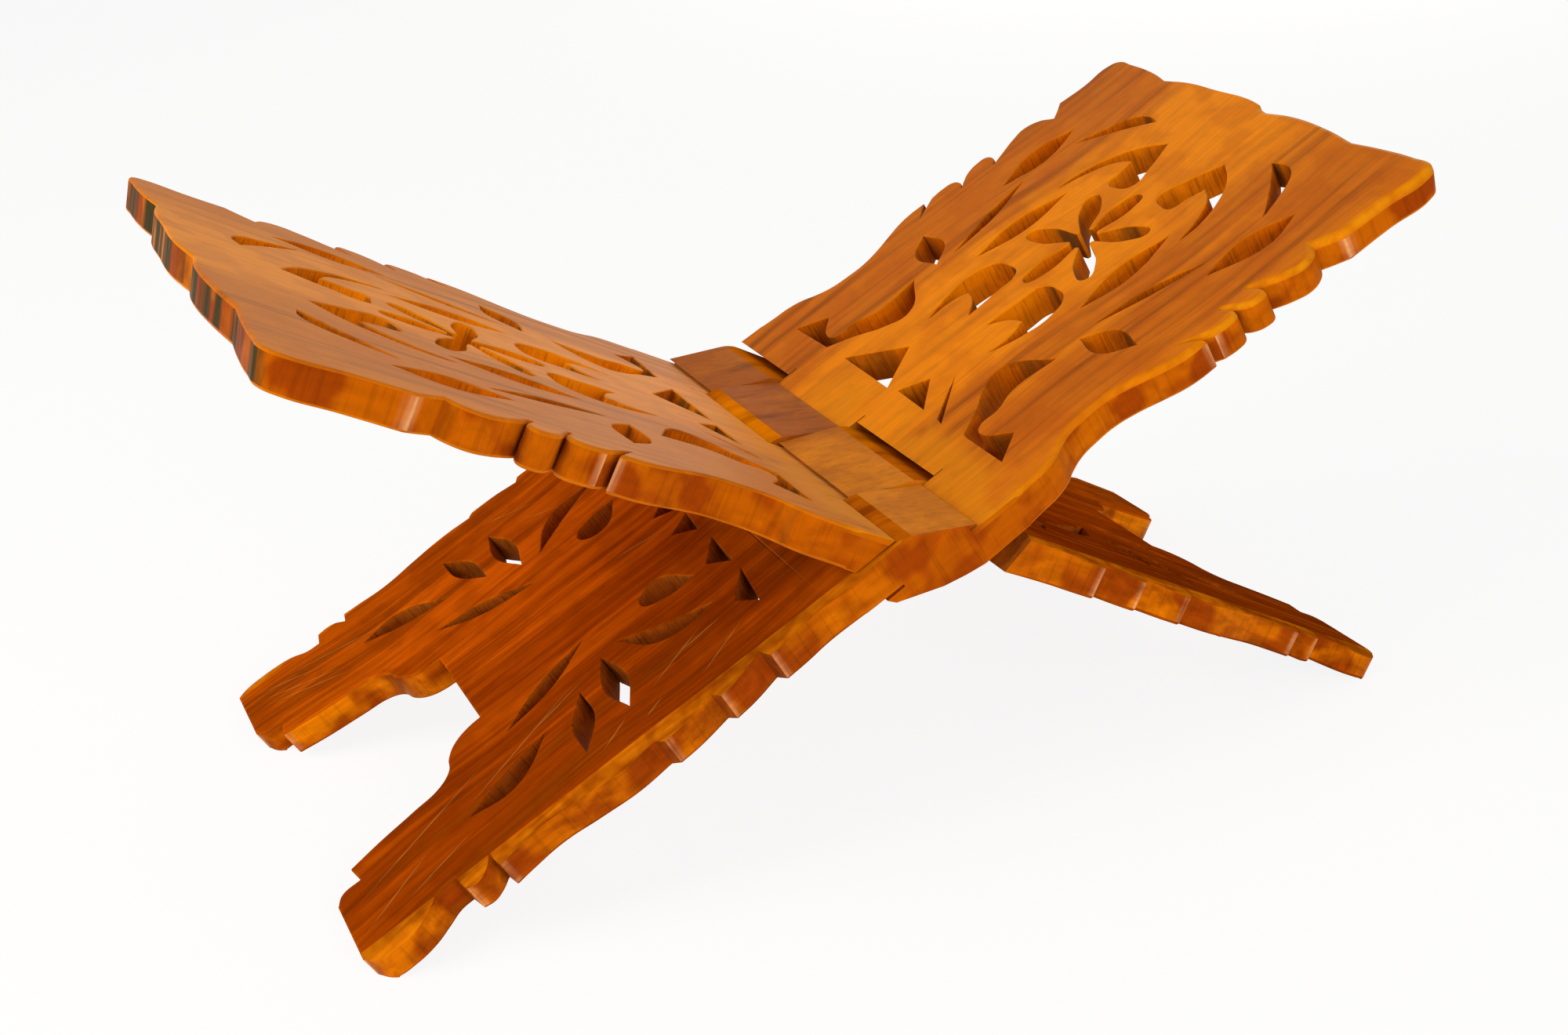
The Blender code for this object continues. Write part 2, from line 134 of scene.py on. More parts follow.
# Points beside the hinge: one on the far half, two on the near half
FAR_FRET: dict[str, tuple[Knot, ...]] = {"point": ((2.2, 17.4, S), (15.4, 25.9, S), (38.8, 17.7, S))}
NEAR_FRET: dict[str, tuple[Knot, ...]] = {
    "point": ((3.8, 18, S), (11.3, 22.9, S), (25, 17.6, S)),
    "slit": ((20.2, 25.9, S), (34.9, 17.6, S), (39.3, 17.2, S)),
}
LOWER_FRET: dict[str, tuple[Knot, ...]] = {
    "inner point": ((2.7, 22.9, S), (16.3, 23.4, S), (8.2, 27.2, S)),
    "middle point": ((26, 22.9, S), (45.7, 23.4, S), (37, 26.7, S)),
    "outer point": ((52.2, 23.4, S), (74, 25, S), (65.2, 27.7, S)),
    "tear": ((38, 29.3, S), (37.5, 34.6, R), (31, 38.4, R), (24.5, 34.6, R)),
    "hook": ((58.7, 29.5, S), (56.5, 39.7, R), (39.7, 44.8, S), (49.5, 37.7, R)),
    "upper leaf": ((41.3, 48.3, S), (58.7, 47, R), (74, 49.6, S), (57.6, 51, R)),
    "lower leaf": ((50, 54, S), (66.3, 54.5, R), (79.3, 58.5, S), (63.6, 58, R)),
    "slit": ((25, 48.3, S), (37, 57, R), (41.3, 66.2, S), (30.4, 58.5, R)),
    "foot leaf": ((55.4, 61.3, S), (70, 69.7, R), (67.4, 77.4, S), (60.3, 70.7, R)),
}
# The petals of the flower, in degrees from the top
PETAL_HEADINGS = (0, 46, 108, 178, 236, 301)

# Lines scored on the outer face of the leg: both ends, in millimetres across and along the leaf
SCORED_LINES: tuple[tuple[float, float, float, float], ...] = (
    (-94, -36, 94, -36), (-45.3, -139.2, -63.7, -193.8), (-42, -105.9, -60.1, -154.6),
    (-70.2, -154.8, -77, -179.7), (-63.9, -167.2, -77.2, -194.3), (-73.9, -100.4, -80.3, -112.1),
    (-63.9, -60, -65.5, -79.2), (-71.6, -55.7, -82, -77.4), (-60.4, -65.6, -71.1, -91),
    (-77.4, -88.9, -80.8, -97.1), (-4.6, -50.3, 1.1, -73.6), (-43.8, -102.8, -50.5, -130.9),
    (76.7, -100, 63.7, -76.3), (60.2, -86.1, 50.9, -72.1), (63.7, -165.2, 78.9, -194.3),
    (53.7, -159.2, 74, -194.6), (49.1, -157.9, 68.6, -193.3), (58.9, -137, 77.9, -186.5),
    (24, -104.6, 33.6, -122.3),
)


def linear(code: str) -> tuple[float, float, float, float]:
    """Turn an sRGB hex colour into the linear colour that a shader takes.

    Args:
        code: Six hex digits after a number sign.

    Returns:
        Red, green, blue and a full alpha.
    """
    parts = [int(code[i:i + 2], 16) / 255 for i in (1, 3, 5)]
    red, green, blue = (p / 12.92 if p <= 0.04045 else ((p + 0.055) / 1.055) ** 2.4 for p in parts)
    return red, green, blue, 1.0


def add_node(
    tree: bpy.types.NodeTree, kind: str, settings: dict | None = None, inputs: dict | None = None
) -> bpy.types.Node:
    """Add a shader node with its settings, values and links.

    Args:
        tree: Node tree that takes the node.
        kind: Blender's name for the kind of node.
        settings: Attributes of the node.
        inputs: Values or output sockets, by the name or number of the input that takes them.

    Returns:
        The new node.
    """
    node = tree.nodes.new(kind)
    for key, value in (settings or {}).items():
        setattr(node, key, value)
    for key, value in (inputs or {}).items():
        if isinstance(value, bpy.types.NodeSocket):
            tree.links.new(value, node.inputs[key])
        else:
            node.inputs[key].default_value = value
    return node


def bands(faces: set[bmesh.types.BMFace]) -> list[set[bmesh.types.BMFace]]:
    """Sort faces into groups that hang together.

    Args:
        faces: Faces to sort, taken out of the set on the way.

    Returns:
        One set of faces for each group.
    """
    groups = []
    while faces:
        group = {faces.pop()}
        fresh = list(group)
        while fresh:
            beside = {near for edge in fresh.pop().edges for near in edge.link_faces} & faces
            faces -= beside
            group |= beside
            fresh += beside
        groups.append(group)
    return groups


def link_object(name: str, data: bpy.types.ID) -> bpy.types.Object:
    """Put a new object in the scene.

    Args:
        name: Name of the object.
        data: Its mesh, curve, light or camera.

    Returns:
        The new object.
    """
    item = bpy.data.objects.new(name, data)
    bpy.context.scene.collection.objects.link(item)
    return item


@contextmanager
def edited(mesh: bpy.types.Mesh) -> Iterator[bmesh.types.BMesh]:
    """Open a mesh for editing, and write it back afterwards.

    Args:
        mesh: Mesh to change.

    Yields:
        Its form that can be edited.
    """
    shape = bmesh.new()
    shape.from_mesh(mesh)
    yield shape
    shape.to_mesh(mesh)
    shape.free()


@dataclass(frozen=True)
class Plank:
    """The plank that both leaves are sawn from, opened for use, in metres."""

    width: float = 184 * MM
    hinge_width: float = 183.5 * MM
    upper_length: float = 203 * MM
    lower_length: float = 197.5 * MM
    hinge_thickness: float = 13 * MM
    end_thickness: float = 10.5 * MM
    kerf: float = 1 * MM
    bow: float = 2.3 * MM
    end_slope: float = 0.018
    end_undercut: float = 0.22
    end_zone: Pair = (0.88, 0.97)
    facet_width: float = 9.5 * MM
    facet_depth: float = 2.4 * MM
    half_angle: float = math.radians(frame["joints"][0]["range_deg"][1]) / 2
    axis_height: float = frame["joints"][0]["pos_m"][2]

    def outer_face(self, height: float) -> float:
        """Give the distance of the outer face from the saw cut, which shrinks towards the end.

        Args:
            height: Place along the leaf from the hinge axis, negative on the leg.

        Returns:
            The distance in metres.
        """
        length = self.upper_length if height > 0 else self.lower_length
        start = Knuckles.under_notch_outer * self.hinge_thickness
        share = max((abs(height) - start) / (length - start), 0)
        return self.hinge_thickness + (self.end_thickness - self.hinge_thickness) * share

    def hand_sawn(self, knots: list[Knot]) -> list[Knot]:
        """Move knots to where the saw really went: bowed, and the top end out of square.

        Args:
            knots: Knots of a true outline, in metres.

        Returns:
            The moved knots.
        """
        moved = []
        for across, along, corner in knots:
            share = along / (self.upper_length if along > 0 else self.lower_length)
            slope = self.end_slope * max(share, 0) ** 2
            moved.append((across + self.bow * math.sin(math.pi * share), along + slope * across, corner))
        return moved


@dataclass(frozen=True)
class FretPlan:
    """Outline and openings of a leaf, seen square to its face."""

    plank: Plank
    flower_place: float = 0.6
    flower_reach: float = 0.285
    flower_heart: float = 0.055
    petal_shoulder: float = 0.72
    petal_spread: float = 0.085
    tooth_angle: float = 8

    def scaled(self, knots: tuple[Knot, ...], length: float) -> list[Knot]:
        """Turn percentages of the half width and of a length into metres."""
        half = self.plank.width / 2
        return [(a * half / 100, b * length / 100, corner) for a, b, corner in knots]

    @staticmethod
    def mirrored(knots: list[Knot]) -> list[Knot]:
        """Give the same knots on the other side of the centre line, run backwards."""
        return [(-across, along, corner) for across, along, corner in reversed(knots)]

    def rim(self) -> list[Knot]:
        """Draw the outline of a whole leaf.

        Returns:
            The knots of both long edges, in metres.
        """
        plank = self.plank
        reach = Knuckles.under_notch_outer * plank.hinge_thickness
        hinge = [(plank.hinge_width / 2, end * reach, S) for end in (1, -1)]
        below = self.scaled(WAIST, plank.upper_length) + hinge + self.scaled(LOWER_EDGE, -plank.lower_length)
        far = self.scaled(FAR_EDGE, plank.upper_length) + below
        near = self.scaled(NEAR_EDGE, plank.upper_length) + below
        return plank.hand_sawn(far + self.mirrored(near))

    def flower(self) -> list[Knot]:
        """Draw the six petals that open into one another, with blunt teeth of wood between them.

        Returns:
            The knots of the one opening that they make.
        """
        half = self.plank.width / 2
        knots = []
        following = (*PETAL_HEADINGS[1:], PETAL_HEADINGS[0] + 360)
        for petal, neighbour in zip(PETAL_HEADINGS, following):
            heading = math.radians(petal)
            out = Vector((math.sin(heading), math.cos(heading)))
            aside = Vector((math.cos(heading), -math.sin(heading))) * self.petal_spread / 2
            shoulder = out * self.flower_reach * self.petal_shoulder
            for place in (shoulder - aside, out * self.flower_reach, shoulder + aside):
                knots.append((place.x, place.y, R))
            for turn in (-self.tooth_angle, self.tooth_angle):
                angle = math.radians((petal + neighbour) / 2 + turn)
                knots.append((math.sin(angle) * self.flower_heart, math.cos(angle) * self.flower_heart, S))
        centre = self.flower_place * self.plank.upper_length
        return [(a * half, centre + b * half, corner) for a, b, corner in knots]

    def openings(self) -> list[list[Knot]]:
        """Draw every opening sawn through a leaf.

        Returns:
            The knots of each opening.
        """
        upper = self.plank.upper_length
        holes = [self.flower()]
        holes += [self.scaled(knots, upper) for knots in FAR_FRET.values()]
        holes += [self.mirrored(self.scaled(knots, upper)) for knots in NEAR_FRET.values()]
        for cuts, length in ((UPPER_FRET, upper), (LOWER_FRET, -self.plank.lower_length)):
            for knots in cuts.values():
                hole = self.scaled(knots, length)
                holes += [hole, self.mirrored(hole)]
        return [self.plank.hand_sawn(hole) for hole in holes]


@dataclass(frozen=True)
class Knuckles:
    """The hinge cut from the wood itself, in shares of the thickness at the hinge."""

    plank: Plank
    seams: tuple[float, ...] = (51 * MM, -2.5 * MM, -56 * MM)
    seam_gap: float = 0.5 * MM
    stop_gap: float = 0.35 * MM
    crease: float = 1.04
    crease_saw: float = 0.85
    top_steepness: float = math.radians(58)
    top_easing: float = 0.27
    under_saw: float = 1.13
    under_lip: float = 1.65
    under_belly: tuple[Pair, ...] = ((0.23, -1.5), (0.73, -0.35), (0.89, 0.23), (1.0, 0.77))
    notch_inner: float = 1.3
    notch_pared: float = 0.15
    under_notch_inner: float = 1.8
    under_notch_outer: float = 2.15
    overcut_width: float = 0.55 * MM
    overcut_length: float = 5.5 * MM
    overcut_depth: float = 2.5 * MM
    slot_reach: float = 1.2

    def section(self, margin: float) -> list[Pair]:
        """Give the section of the right leaf across the hinge.

        Args:
            margin: Length added past both ends of the leaf.

        Returns:
            Corners as distances from the saw cut and along the leaf.
        """
        plank = self.plank
        thick = plank.hinge_thickness
        saw = plank.kerf / 2
        start = self.under_notch_outer * thick
        top = plank.upper_length + margin
        bottom = -plank.lower_length - margin
        corner = self.crease * thick - (thick - saw) * math.tan(self.top_steepness)
        easing = self.top_easing * thick
        bend = math.pi / 2 - self.top_steepness
        radius = easing / math.tan(bend / 2)
        crown = [
            (radius * (1 - math.cos(bend * share)) - thick, corner - easing + radius * math.sin(bend * share))
            for share in (1, 0.75, 0.5, 0.25, 0)
        ]
        points = [
            (saw, top), (saw, self.crease_saw * thick), (-saw, self.crease_saw * thick),
            (-saw, self.crease * thick), *crown, (-thick, -start), (-plank.outer_face(bottom), bottom),
            (-saw, bottom), (-saw, -self.under_saw * thick), (saw, -self.under_saw * thick),
            (saw, -self.under_lip * thick),
        ]
        points += [(a * thick, b * thick) for a, b in self.under_belly]
        return points + [(thick, start), (plank.outer_face(top), top)]

    def slot(self, side: int) -> list[Pair]:
        """Give the section of the room that a leaf leaves for a knuckle of the other.

        Args:
            side: 1 for the right leaf, whose notches are pared wider, and -1 for the left.

        Returns:
            Corners as distances from the saw cut and along the leaf.
        """
        thick = self.plank.hinge_thickness
        notch = (self.notch_inner + (self.notch_pared if side > 0 else 0)) * thick
        saw = self.plank.kerf / 2
        turn = 2 * self.plank.half_angle - math.pi / 2
        stop = (thick + self.stop_gap + thick * math.sin(turn)) / math.cos(turn)
        slope = (stop - notch) / (thick - saw)
        under = (self.under_notch_outer - self.under_notch_inner) * thick / (thick - saw)
        reach = self.slot_reach * thick
        above = [(a, notch + slope * (a - saw)) for a in (-reach, reach)]
        below = [(a, -self.under_notch_inner * thick + under * (a + saw)) for a in (reach, -reach)]
        return above + below

    def slots(self, side: int) -> list[Pair]:
        """Find the slots of a leaf along the hinge.

        Args:
            side: 1 for the right leaf, -1 for the left.

        Returns:
            The far and the near end of each slot.
        """
        ends = (self.plank.width, *self.seams, -self.plank.width)
        first = 0 if side > 0 else 1
        half_gap = self.seam_gap / 2
        return [(ends[i] + half_gap, ends[i + 1] - half_gap) for i in range(first, len(ends) - 1, 2)]


@dataclass(frozen=True)
class WoodFinish:
    """Sheesham as one tool left it, under a thin coat of orange oil varnish.

    The colours run along the board in soft bands, and the gold can lie aside from its heart. The ridges
    are those of the tool, in millimetres. Fuzz is the sheen of raised fibres and gloss that of the varnish.
    Scored lines show only in a finish that gives their colour.
    """

    name: str
    light: str
    ground: str
    vein: str
    leg_light: str
    leg_dark: str
    wear_and_highlight: str
    end_grain: str
    blotch: str
    scraped: str
    roughness: float
    ridge_spacing: float
    ridge_height: float
    ridge_shade: float
    blotching: float
    aside: float = 0
    fuzz: float = 0
    gloss: float = 0.03
    scored: str = ""


# Planed and sanded: long grain shows as gold and brown bands, and the eased edges are sanded through to
# yellow, which on the right leaf's near rim is partly a painted highlight
PLANED = WoodFinish(
    name="sheesham_planed", light="#EE8600", ground="#C86606", vein="#8A3E04", leg_light="#BE5A04",
    leg_dark="#682402", wear_and_highlight="#E09008", end_grain="#6B3E10", blotch="#B04A02", scraped="#E88E06",
    roughness=0.46, ridge_spacing=6, ridge_height=0.03, ridge_shade=0.06, blotching=0.3, fuzz=0.2,
    scored="#C88038",
)
# Planed and oiled alone, with no film that shines and none of the dust that books rub into the rests:
# deeper and redder brown
LEG_PLANED = replace(
    PLANED, name="sheesham_planed_leg", leg_light="#C05604", leg_dark="#863000", wear_and_highlight="#E0820A",
    blotch="#782C02", fuzz=0, gloss=0,
)
# Cut with a fret saw and lightly sanded: orange side grain with faint ridges, dark stripes of end grain
# where the cut runs across the board, and a pale painted highlight on the arrises that stand out, where they
# would catch the light
RIM_SAWN = WoodFinish(
    name="sheesham_rim_sawn", light="#DC7802", ground="#BC5802", vein="#8A3C04", leg_light="#E88002",
    leg_dark="#C05C02", wear_and_highlight="#F0B078", end_grain="#3C3418", blotch="#963804", scraped="#D07004",
    roughness=0.5, ridge_spacing=1.2, ridge_height=0.1, ridge_shade=0.16, blotching=0.85,
)
# Cut with a fret saw and left rough: as orange as the faces, with a fine ridge from every tooth
FRET_SAWN = WoodFinish(
    name="sheesham_fret_sawn", light="#F08404", ground="#DA6C04", vein="#A44C04", leg_light="#B05A14",
    leg_dark="#A0480E", wear_and_highlight="#E89614", end_grain="#804C18", blotch="#A04C0C", scraped="#C8761C",
    roughness=0.65, ridge_spacing=0.75, ridge_height=0.3, ridge_shade=0.32, blotching=0.3,
)
# Pared with a chisel: duller flats with fine marks across the grain
CHISELLED = WoodFinish(
    name="sheesham_chiselled", light="#DC8218", ground="#AE5C1A", vein="#7E3E0E", leg_light="#B8641A",
    leg_dark="#8C480E", wear_and_highlight="#E09008", end_grain="#744A18", blotch="#9A4E14", scraped="#C0741C",
    roughness=0.5, ridge_spacing=3, ridge_height=0.05, ridge_shade=0.1, blotching=0.3, aside=-62,
)


class Noise(NamedTuple):
    """A step of a shader: a random pattern of one size in millimetres, drawn out along some axes."""

    source: str
    stretch: tuple[float, float, float]
    size: float
    detail: float
    roughness: float = 0.6
    seeded: bool = False


class Ramp(NamedTuple):
    """A step of a shader: a socket carried from one range over to another, softly or in a straight line."""

    source: str
    first: float
    last: float
    low: float | str = 0
    high: float | str = 1
    style: str = "SMOOTHSTEP"


class Blend(NamedTuple):
    """A step of a shader: two or more sockets or numbers worked into one."""

    operation: str
    parts: tuple[float | str, ...]


@dataclass
class WoodShader:
    """Node tree of one finish on one leaf, in millimetres of the leaf's own frame."""

    finish: WoodFinish
    plank: Plank
    side: int
    seed: float
    heart: float
    ior: float = 1.45
    varnish_tint: str = "#FFC07A"
    fuzz_tint: str = "#FFD078"
    roughness_spread: Pair = (-0.08, 0.1)
    along_grain: tuple[float, float, float] = (0.5, 1, 0.045)
    sway_length: float = 110
    sway: tuple[float, float, float] = (10, 26, 0)
    line_depth: float = 3
    line_width: float = 0.55
    line_taper: float = 1.8

    def __post_init__(self) -> None:
        """Start the material, which has no named sockets yet."""
        hand = "right" if self.side > 0 else "left"
        self.made = bpy.data.materials.new(f"{self.finish.name}_{hand}")
        self.made.use_nodes = True
        self.tree = self.made.node_tree
        self.sockets: dict[str, bpy.types.NodeSocket] = {}

    def material(self) -> bpy.types.Material:
        """Build the material.

        Returns:
            The material, named for its finish and leaf.
        """
        shader = self.tree.nodes["Principled BSDF"]
        shader.inputs["IOR"].default_value = self.ior
        shader.inputs["Specular IOR Level"].default_value = self.finish.gloss
        shader.inputs["Specular Tint"].default_value = linear(self.varnish_tint)
        shader.inputs["Sheen Weight"].default_value = self.finish.fuzz
        shader.inputs["Sheen Tint"].default_value = linear(self.fuzz_tint)
        self.lay_grain()
        if self.finish.scored:
            self.score_lines()
        self.work_out(self.marks())
        self.tree.links.new(self.colour(), shader.inputs["Base Color"])
        self.tree.links.new(self.sockets["roughness"], shader.inputs["Roughness"])
        self.tree.links.new(self.relief(), shader.inputs["Normal"])
        return self.made

    def work_out(self, steps: dict[str, Noise | Ramp | Blend]) -> None:
        """Add the nodes of some steps, and keep the socket of each by its name.

        Args:
            steps: Steps by name, each after the ones that it names.
        """
        tree = self.tree
        for name, step in steps.items():
            parts = step.parts if isinstance(step, Blend) else step
            known = [self.sockets.get(part, part) for part in parts]
            if isinstance(step, Noise):
                drawn = add_node(tree, "ShaderNodeVectorMath", {"operation": "MULTIPLY"}, {
                    0: known[0], 1: step.stretch,
                })
                seed = {"W": self.seed + step.size} if step.seeded else {}
                made = add_node(tree, "ShaderNodeTexNoise", {"noise_dimensions": "4D" if seed else "3D"}, {
                    "Vector": drawn.outputs[0], "Scale": 1 / step.size, "Detail": step.detail,
                    "Roughness": step.roughness, **seed,
                })
            elif isinstance(step, Ramp):
                ends = ("Value", "From Min", "From Max", "To Min", "To Max")
                style = {"interpolation_type": step.style}
                made = add_node(tree, "ShaderNodeMapRange", style, dict(zip(ends, known)))
            else:
                total = known[0]
                for part in known[1:]:
                    working = {"operation": step.operation}
                    made = add_node(tree, "ShaderNodeMath", working, {0: total, 1: part})
                    total = made.outputs[0]
            self.sockets[name] = made.outputs[0]

    def lay_grain(self) -> None:
        """Find the place on the leaf, and lay the grain, the tool's ridges and the blotches there."""
        tree = self.tree
        turn = -self.side * self.plank.half_angle
        axis = Matrix.Rotation(turn, 3, "Y") @ Vector((0, 0, -self.plank.axis_height))
        where = add_node(tree, "ShaderNodeTexCoord")
        leaf = add_node(tree, "ShaderNodeMapping", None, {
            "Vector": where.outputs["Object"], "Location": axis, "Rotation": (0, turn, 0),
        })
        place = add_node(tree, "ShaderNodeVectorMath", {"operation": "MULTIPLY"}, {
            0: leaf.outputs[0], 1: (self.side / MM, 1 / MM, 1 / MM),
        }).outputs[0]
        apart = add_node(tree, "ShaderNodeSeparateXYZ", None, {0: place})
        self.sockets |= dict(zip(("across", "hinge", "length"), apart.outputs), place=place)
        sway = add_node(tree, "ShaderNodeTexNoise", {"noise_dimensions": "4D"}, {
            "Vector": place, "W": self.seed, "Scale": 1 / self.sway_length, "Detail": 1,
        })
        self.sockets["swayed"] = add_node(tree, "ShaderNodeVectorMath", {"operation": "MULTIPLY_ADD"}, {
            0: sway.outputs["Color"], 1: self.sway, 2: place,
        }).outputs[0]
        # Real fibres are finer than these, and are drawn coarser so that they show
        self.work_out({
            "band": Noise("swayed", self.along_grain, 26, 2.5, seeded=True),
            "streak": Noise("swayed", self.along_grain, 7, 4, seeded=True),
            "fibre": Noise("swayed", self.along_grain, 1.3, 3, seeded=True),
            "ridge": Noise("place", (0.04, 1, 1), self.finish.ridge_spacing, 1.5),
            "blotch": Noise("swayed", (1, 1, 1), 17, 2, 0.5),
            "stripe": Noise("place", (0.05, 1, 0.05), 9, 2, 0.5),
        })
        # The end grain, and where edges are bare of varnish or carry a painted highlight
        for name in ("end_grain", "wear_and_highlight"):
            painted = add_node(tree, "ShaderNodeAttribute", {"attribute_name": name})
            self.sockets[name] = painted.outputs["Fac"]

    def score_lines(self) -> None:
        """Score the thin lines on the leg's outer face, as long ellipsoids that lie in it."""
        names = []
        for y0, z0, y1, z1 in SCORED_LINES:
            middle = (-self.plank.outer_face((z0 + z1) / 2 * MM) / MM, (y0 + y1) / 2, (z0 + z1) / 2)
            near = add_node(self.tree, "ShaderNodeMapping", {"vector_type": "TEXTURE"}, {
                "Vector": self.sockets["place"], "Location": middle,
                "Rotation": (math.atan2(y0 - y1, z1 - z0), 0, 0),
                "Scale": (self.line_depth, self.line_width, math.hypot(y1 - y0, z1 - z0) / self.line_taper),
            })
            shape = {"gradient_type": "SPHERICAL"}
            line = add_node(self.tree, "ShaderNodeTexGradient", shape, {0: near.outputs[0]})
            names.append(f"line {len(names)}")
            self.sockets[names[-1]] = line.outputs["Fac"]
        self.work_out({
            "lines": Blend("MAXIMUM", tuple(names)),
            "scored": Ramp("lines", 0.05, 0.6),
            "bright": Blend("MULTIPLY", ("scored", 0.42)),
        })

    def marks(self) -> dict[str, Noise | Ramp | Blend]:
        """List where each colour shows, from the grain and the places on the leaf.

        Returns:
            Steps by name.
        """
        finish = self.finish
        low, high = (finish.roughness + spread for spread in self.roughness_spread)
        return {
            # Gold down the heart of the board, with dark veins that keep clear of it
            "from_heart": Blend("SUBTRACT", ("hinge", self.heart + finish.aside)),
            "off_heart": Blend("ABSOLUTE", ("from_heart", 0)),
            "middle": Ramp("off_heart", 12, 62, 0.24, -0.16),
            "bands": Blend("ADD", ("band", "middle")),
            "gold": Ramp("bands", 0.34, 0.68),
            "clear": Ramp("gold", 0, 1, 1, 0.3, "LINEAR"),
            "streaky": Ramp("streak", 0.47, 0.68, 0, 0.85),
            "dark": Blend("MULTIPLY", ("streaky", "clear")),
            # The leg, streaked and paler towards its far side
            "down": Ramp("length", 4, -52),
            "far": Ramp("hinge", -50, 60, 0, 0.45),
            "pale": Ramp("streak", 0.62, 0.36, 0, 0.65),
            "paler": Blend("ADD", ("pale", "far")),
            "red": Ramp("blotch", 0.44, 0.6, 0, finish.blotching),
            # The band of the inner face that was scraped clean past the knuckles
            "inner": Blend("LESS_THAN", ("across", 2.5)),
            "past_knuckles": Ramp("length", 10, 18),
            "short_of_fret": Ramp("length", 40, 27),
            "near_side": Ramp("hinge", 48, 12),
            "uneven": Ramp("blotch", 0.36, 0.56, 0, 0.6),
            "clean": Blend("MULTIPLY", ("inner", "past_knuckles", "short_of_fret", "near_side", "uneven")),
            # Stripes of open end grain, and patchy edges bare of varnish, with painted highlights on the
            # rim's arrises and, in part, on the right leaf's near rim
            "stripes": Ramp("stripe", 0.4, 0.58, 0.2, 1),
            "open_grain": Blend("MULTIPLY", ("end_grain", "stripes")),
            "patchy": Ramp("streak", 0.62, 0.4, 0.25, 1, "LINEAR"),
            "spotty": Ramp("ridge", 0.35, 0.6, 0.4, 1, "LINEAR"),
            "rubbed_and_highlit": Blend("MULTIPLY", ("wear_and_highlight", "patchy", "spotty")),
            # Light and shade of the fibres, stronger on the leg, and of the tool's ridges
            "faint": Ramp("down", 0, 1, 0.84, 0.66, "LINEAR"),
            "strong": Ramp("down", 0, 1, 1.1, 1.25, "LINEAR"),
            "fine": Ramp("fibre", 0.25, 0.75, "faint", "strong", "LINEAR"),
            "groove": Ramp("ridge", 0.32, 0.5, 1 - finish.ridge_shade, 1),
            "shade": Blend("MULTIPLY", ("fine", "groove")),
            "roughness": Ramp("fibre", 0, 1, low, high, "LINEAR"),
        }

    def colour(self) -> bpy.types.NodeSocket:
        """Lay the colours of the wood over one another.

        Returns:
            Socket of the finished colour.
        """
        finish = self.finish
        sockets = self.sockets
        layers = [
            ("upper", "gold", linear(finish.ground), linear(finish.light)),
            ("leg", "paler", linear(finish.leg_dark), linear(finish.leg_light)),
            ("coat", "down", "upper", "leg"),
            ("coat", "dark", "coat", linear(finish.vein)),
            ("coat", "red", "coat", linear(finish.blotch)),
            ("coat", "clean", "coat", linear(finish.scraped)),
            ("coat", "open_grain", "coat", linear(finish.end_grain)),
            # Painted highlights on the rim's arrises and, in part, on the right leaf's near rim, over edges
            # bare of varnish
            ("coat", "rubbed_and_highlit", "coat", linear(finish.wear_and_highlight)),
        ]
        if finish.scored:
            layers.append(("coat", "bright", "coat", linear(finish.scored)))
        for name, share, under, over in layers:
            sockets[name] = add_node(self.tree, "ShaderNodeMix", {"data_type": "RGBA"}, {
                0: sockets[share], 6: sockets.get(under, under), 7: sockets.get(over, over),
            }).outputs[2]
        return add_node(self.tree, "ShaderNodeMix", {"data_type": "RGBA", "blend_type": "MULTIPLY"}, {
            0: 1.0, 6: sockets["coat"], 7: sockets["shade"],
        }).outputs[2]

    def relief(self) -> bpy.types.NodeSocket:
        """Raise the fibres and the tool's ridges, and sink the scored lines.

        Returns:
            Socket of the bent normal.
        """
        # How strongly each shows, and its height in millimetres
        heights = [("fibre", 0.35, 0.12), ("ridge", 0.8, 2 * self.finish.ridge_height)]
        if self.finish.scored:
            heights.append(("scored", 1, 0.3))
        normal = {}
        for name, strength, depth in heights:
            bump = {"Strength": strength, "Distance": depth * MM, "Height": self.sockets[name]}
            raised = add_node(self.tree, "ShaderNodeBump", {"invert": name == "scored"}, bump | normal)
            normal = {"Normal": raised.outputs[0]}
        return normal["Normal"]


@dataclass(frozen=True)
class Wear:
    """How hands and books have eased a leaf's edges and taken off its varnish, with highlights painted where
    edges would catch the light.

    Widths are those of the eased edges. The shares are of the varnish that is gone, except on the rim's
    arrises, where they give a painted highlight, and on the right leaf's near rim, where they are partly wear
    and partly a painted highlight.
    """

    sharp_angle: float = math.radians(40)
    rounding_steps: int = 3
    tightest: float = 0.5
    fade: float = 0.3
    leg_share: float = 0.6
    fret_width: float = 0.45 * MM
    fret_rubbed: float = 0.25
    hinge_width: float = 0.5 * MM
    hinge_rubbed: float = 0.3
    rim_width: float = 0.95 * MM
    rim_least: float = 0.75
    rim_swing: float = 0.4
    waves: Pair = (37, 61)
    left_rubbed: float = 0.1
    right_rubbed: float = 0.25
    # The near rim of the right leaf, eased wider; its yellow is partly wear and partly a painted highlight
    # from above
    near_width: float = 1.6
    near_rubbed_and_highlit: Pair = (0.2, 0.8)
    near_slope: Pair = (3, 0.9)
    corner_start: float = 0.9
    corner_slope: float = 8
    facet_rubbed: float = 0.9
    # Pale highlights painted on the convex arrises of the sawn rim, and how far they spread
    arris_angle: float = math.radians(25)
    arris_width: float = 2.5 * MM
    arris_highlight: float = 0.8
    end_grain_slope: Pair = (2.2, 1.1)
    leg_end_grain: float = 0.4


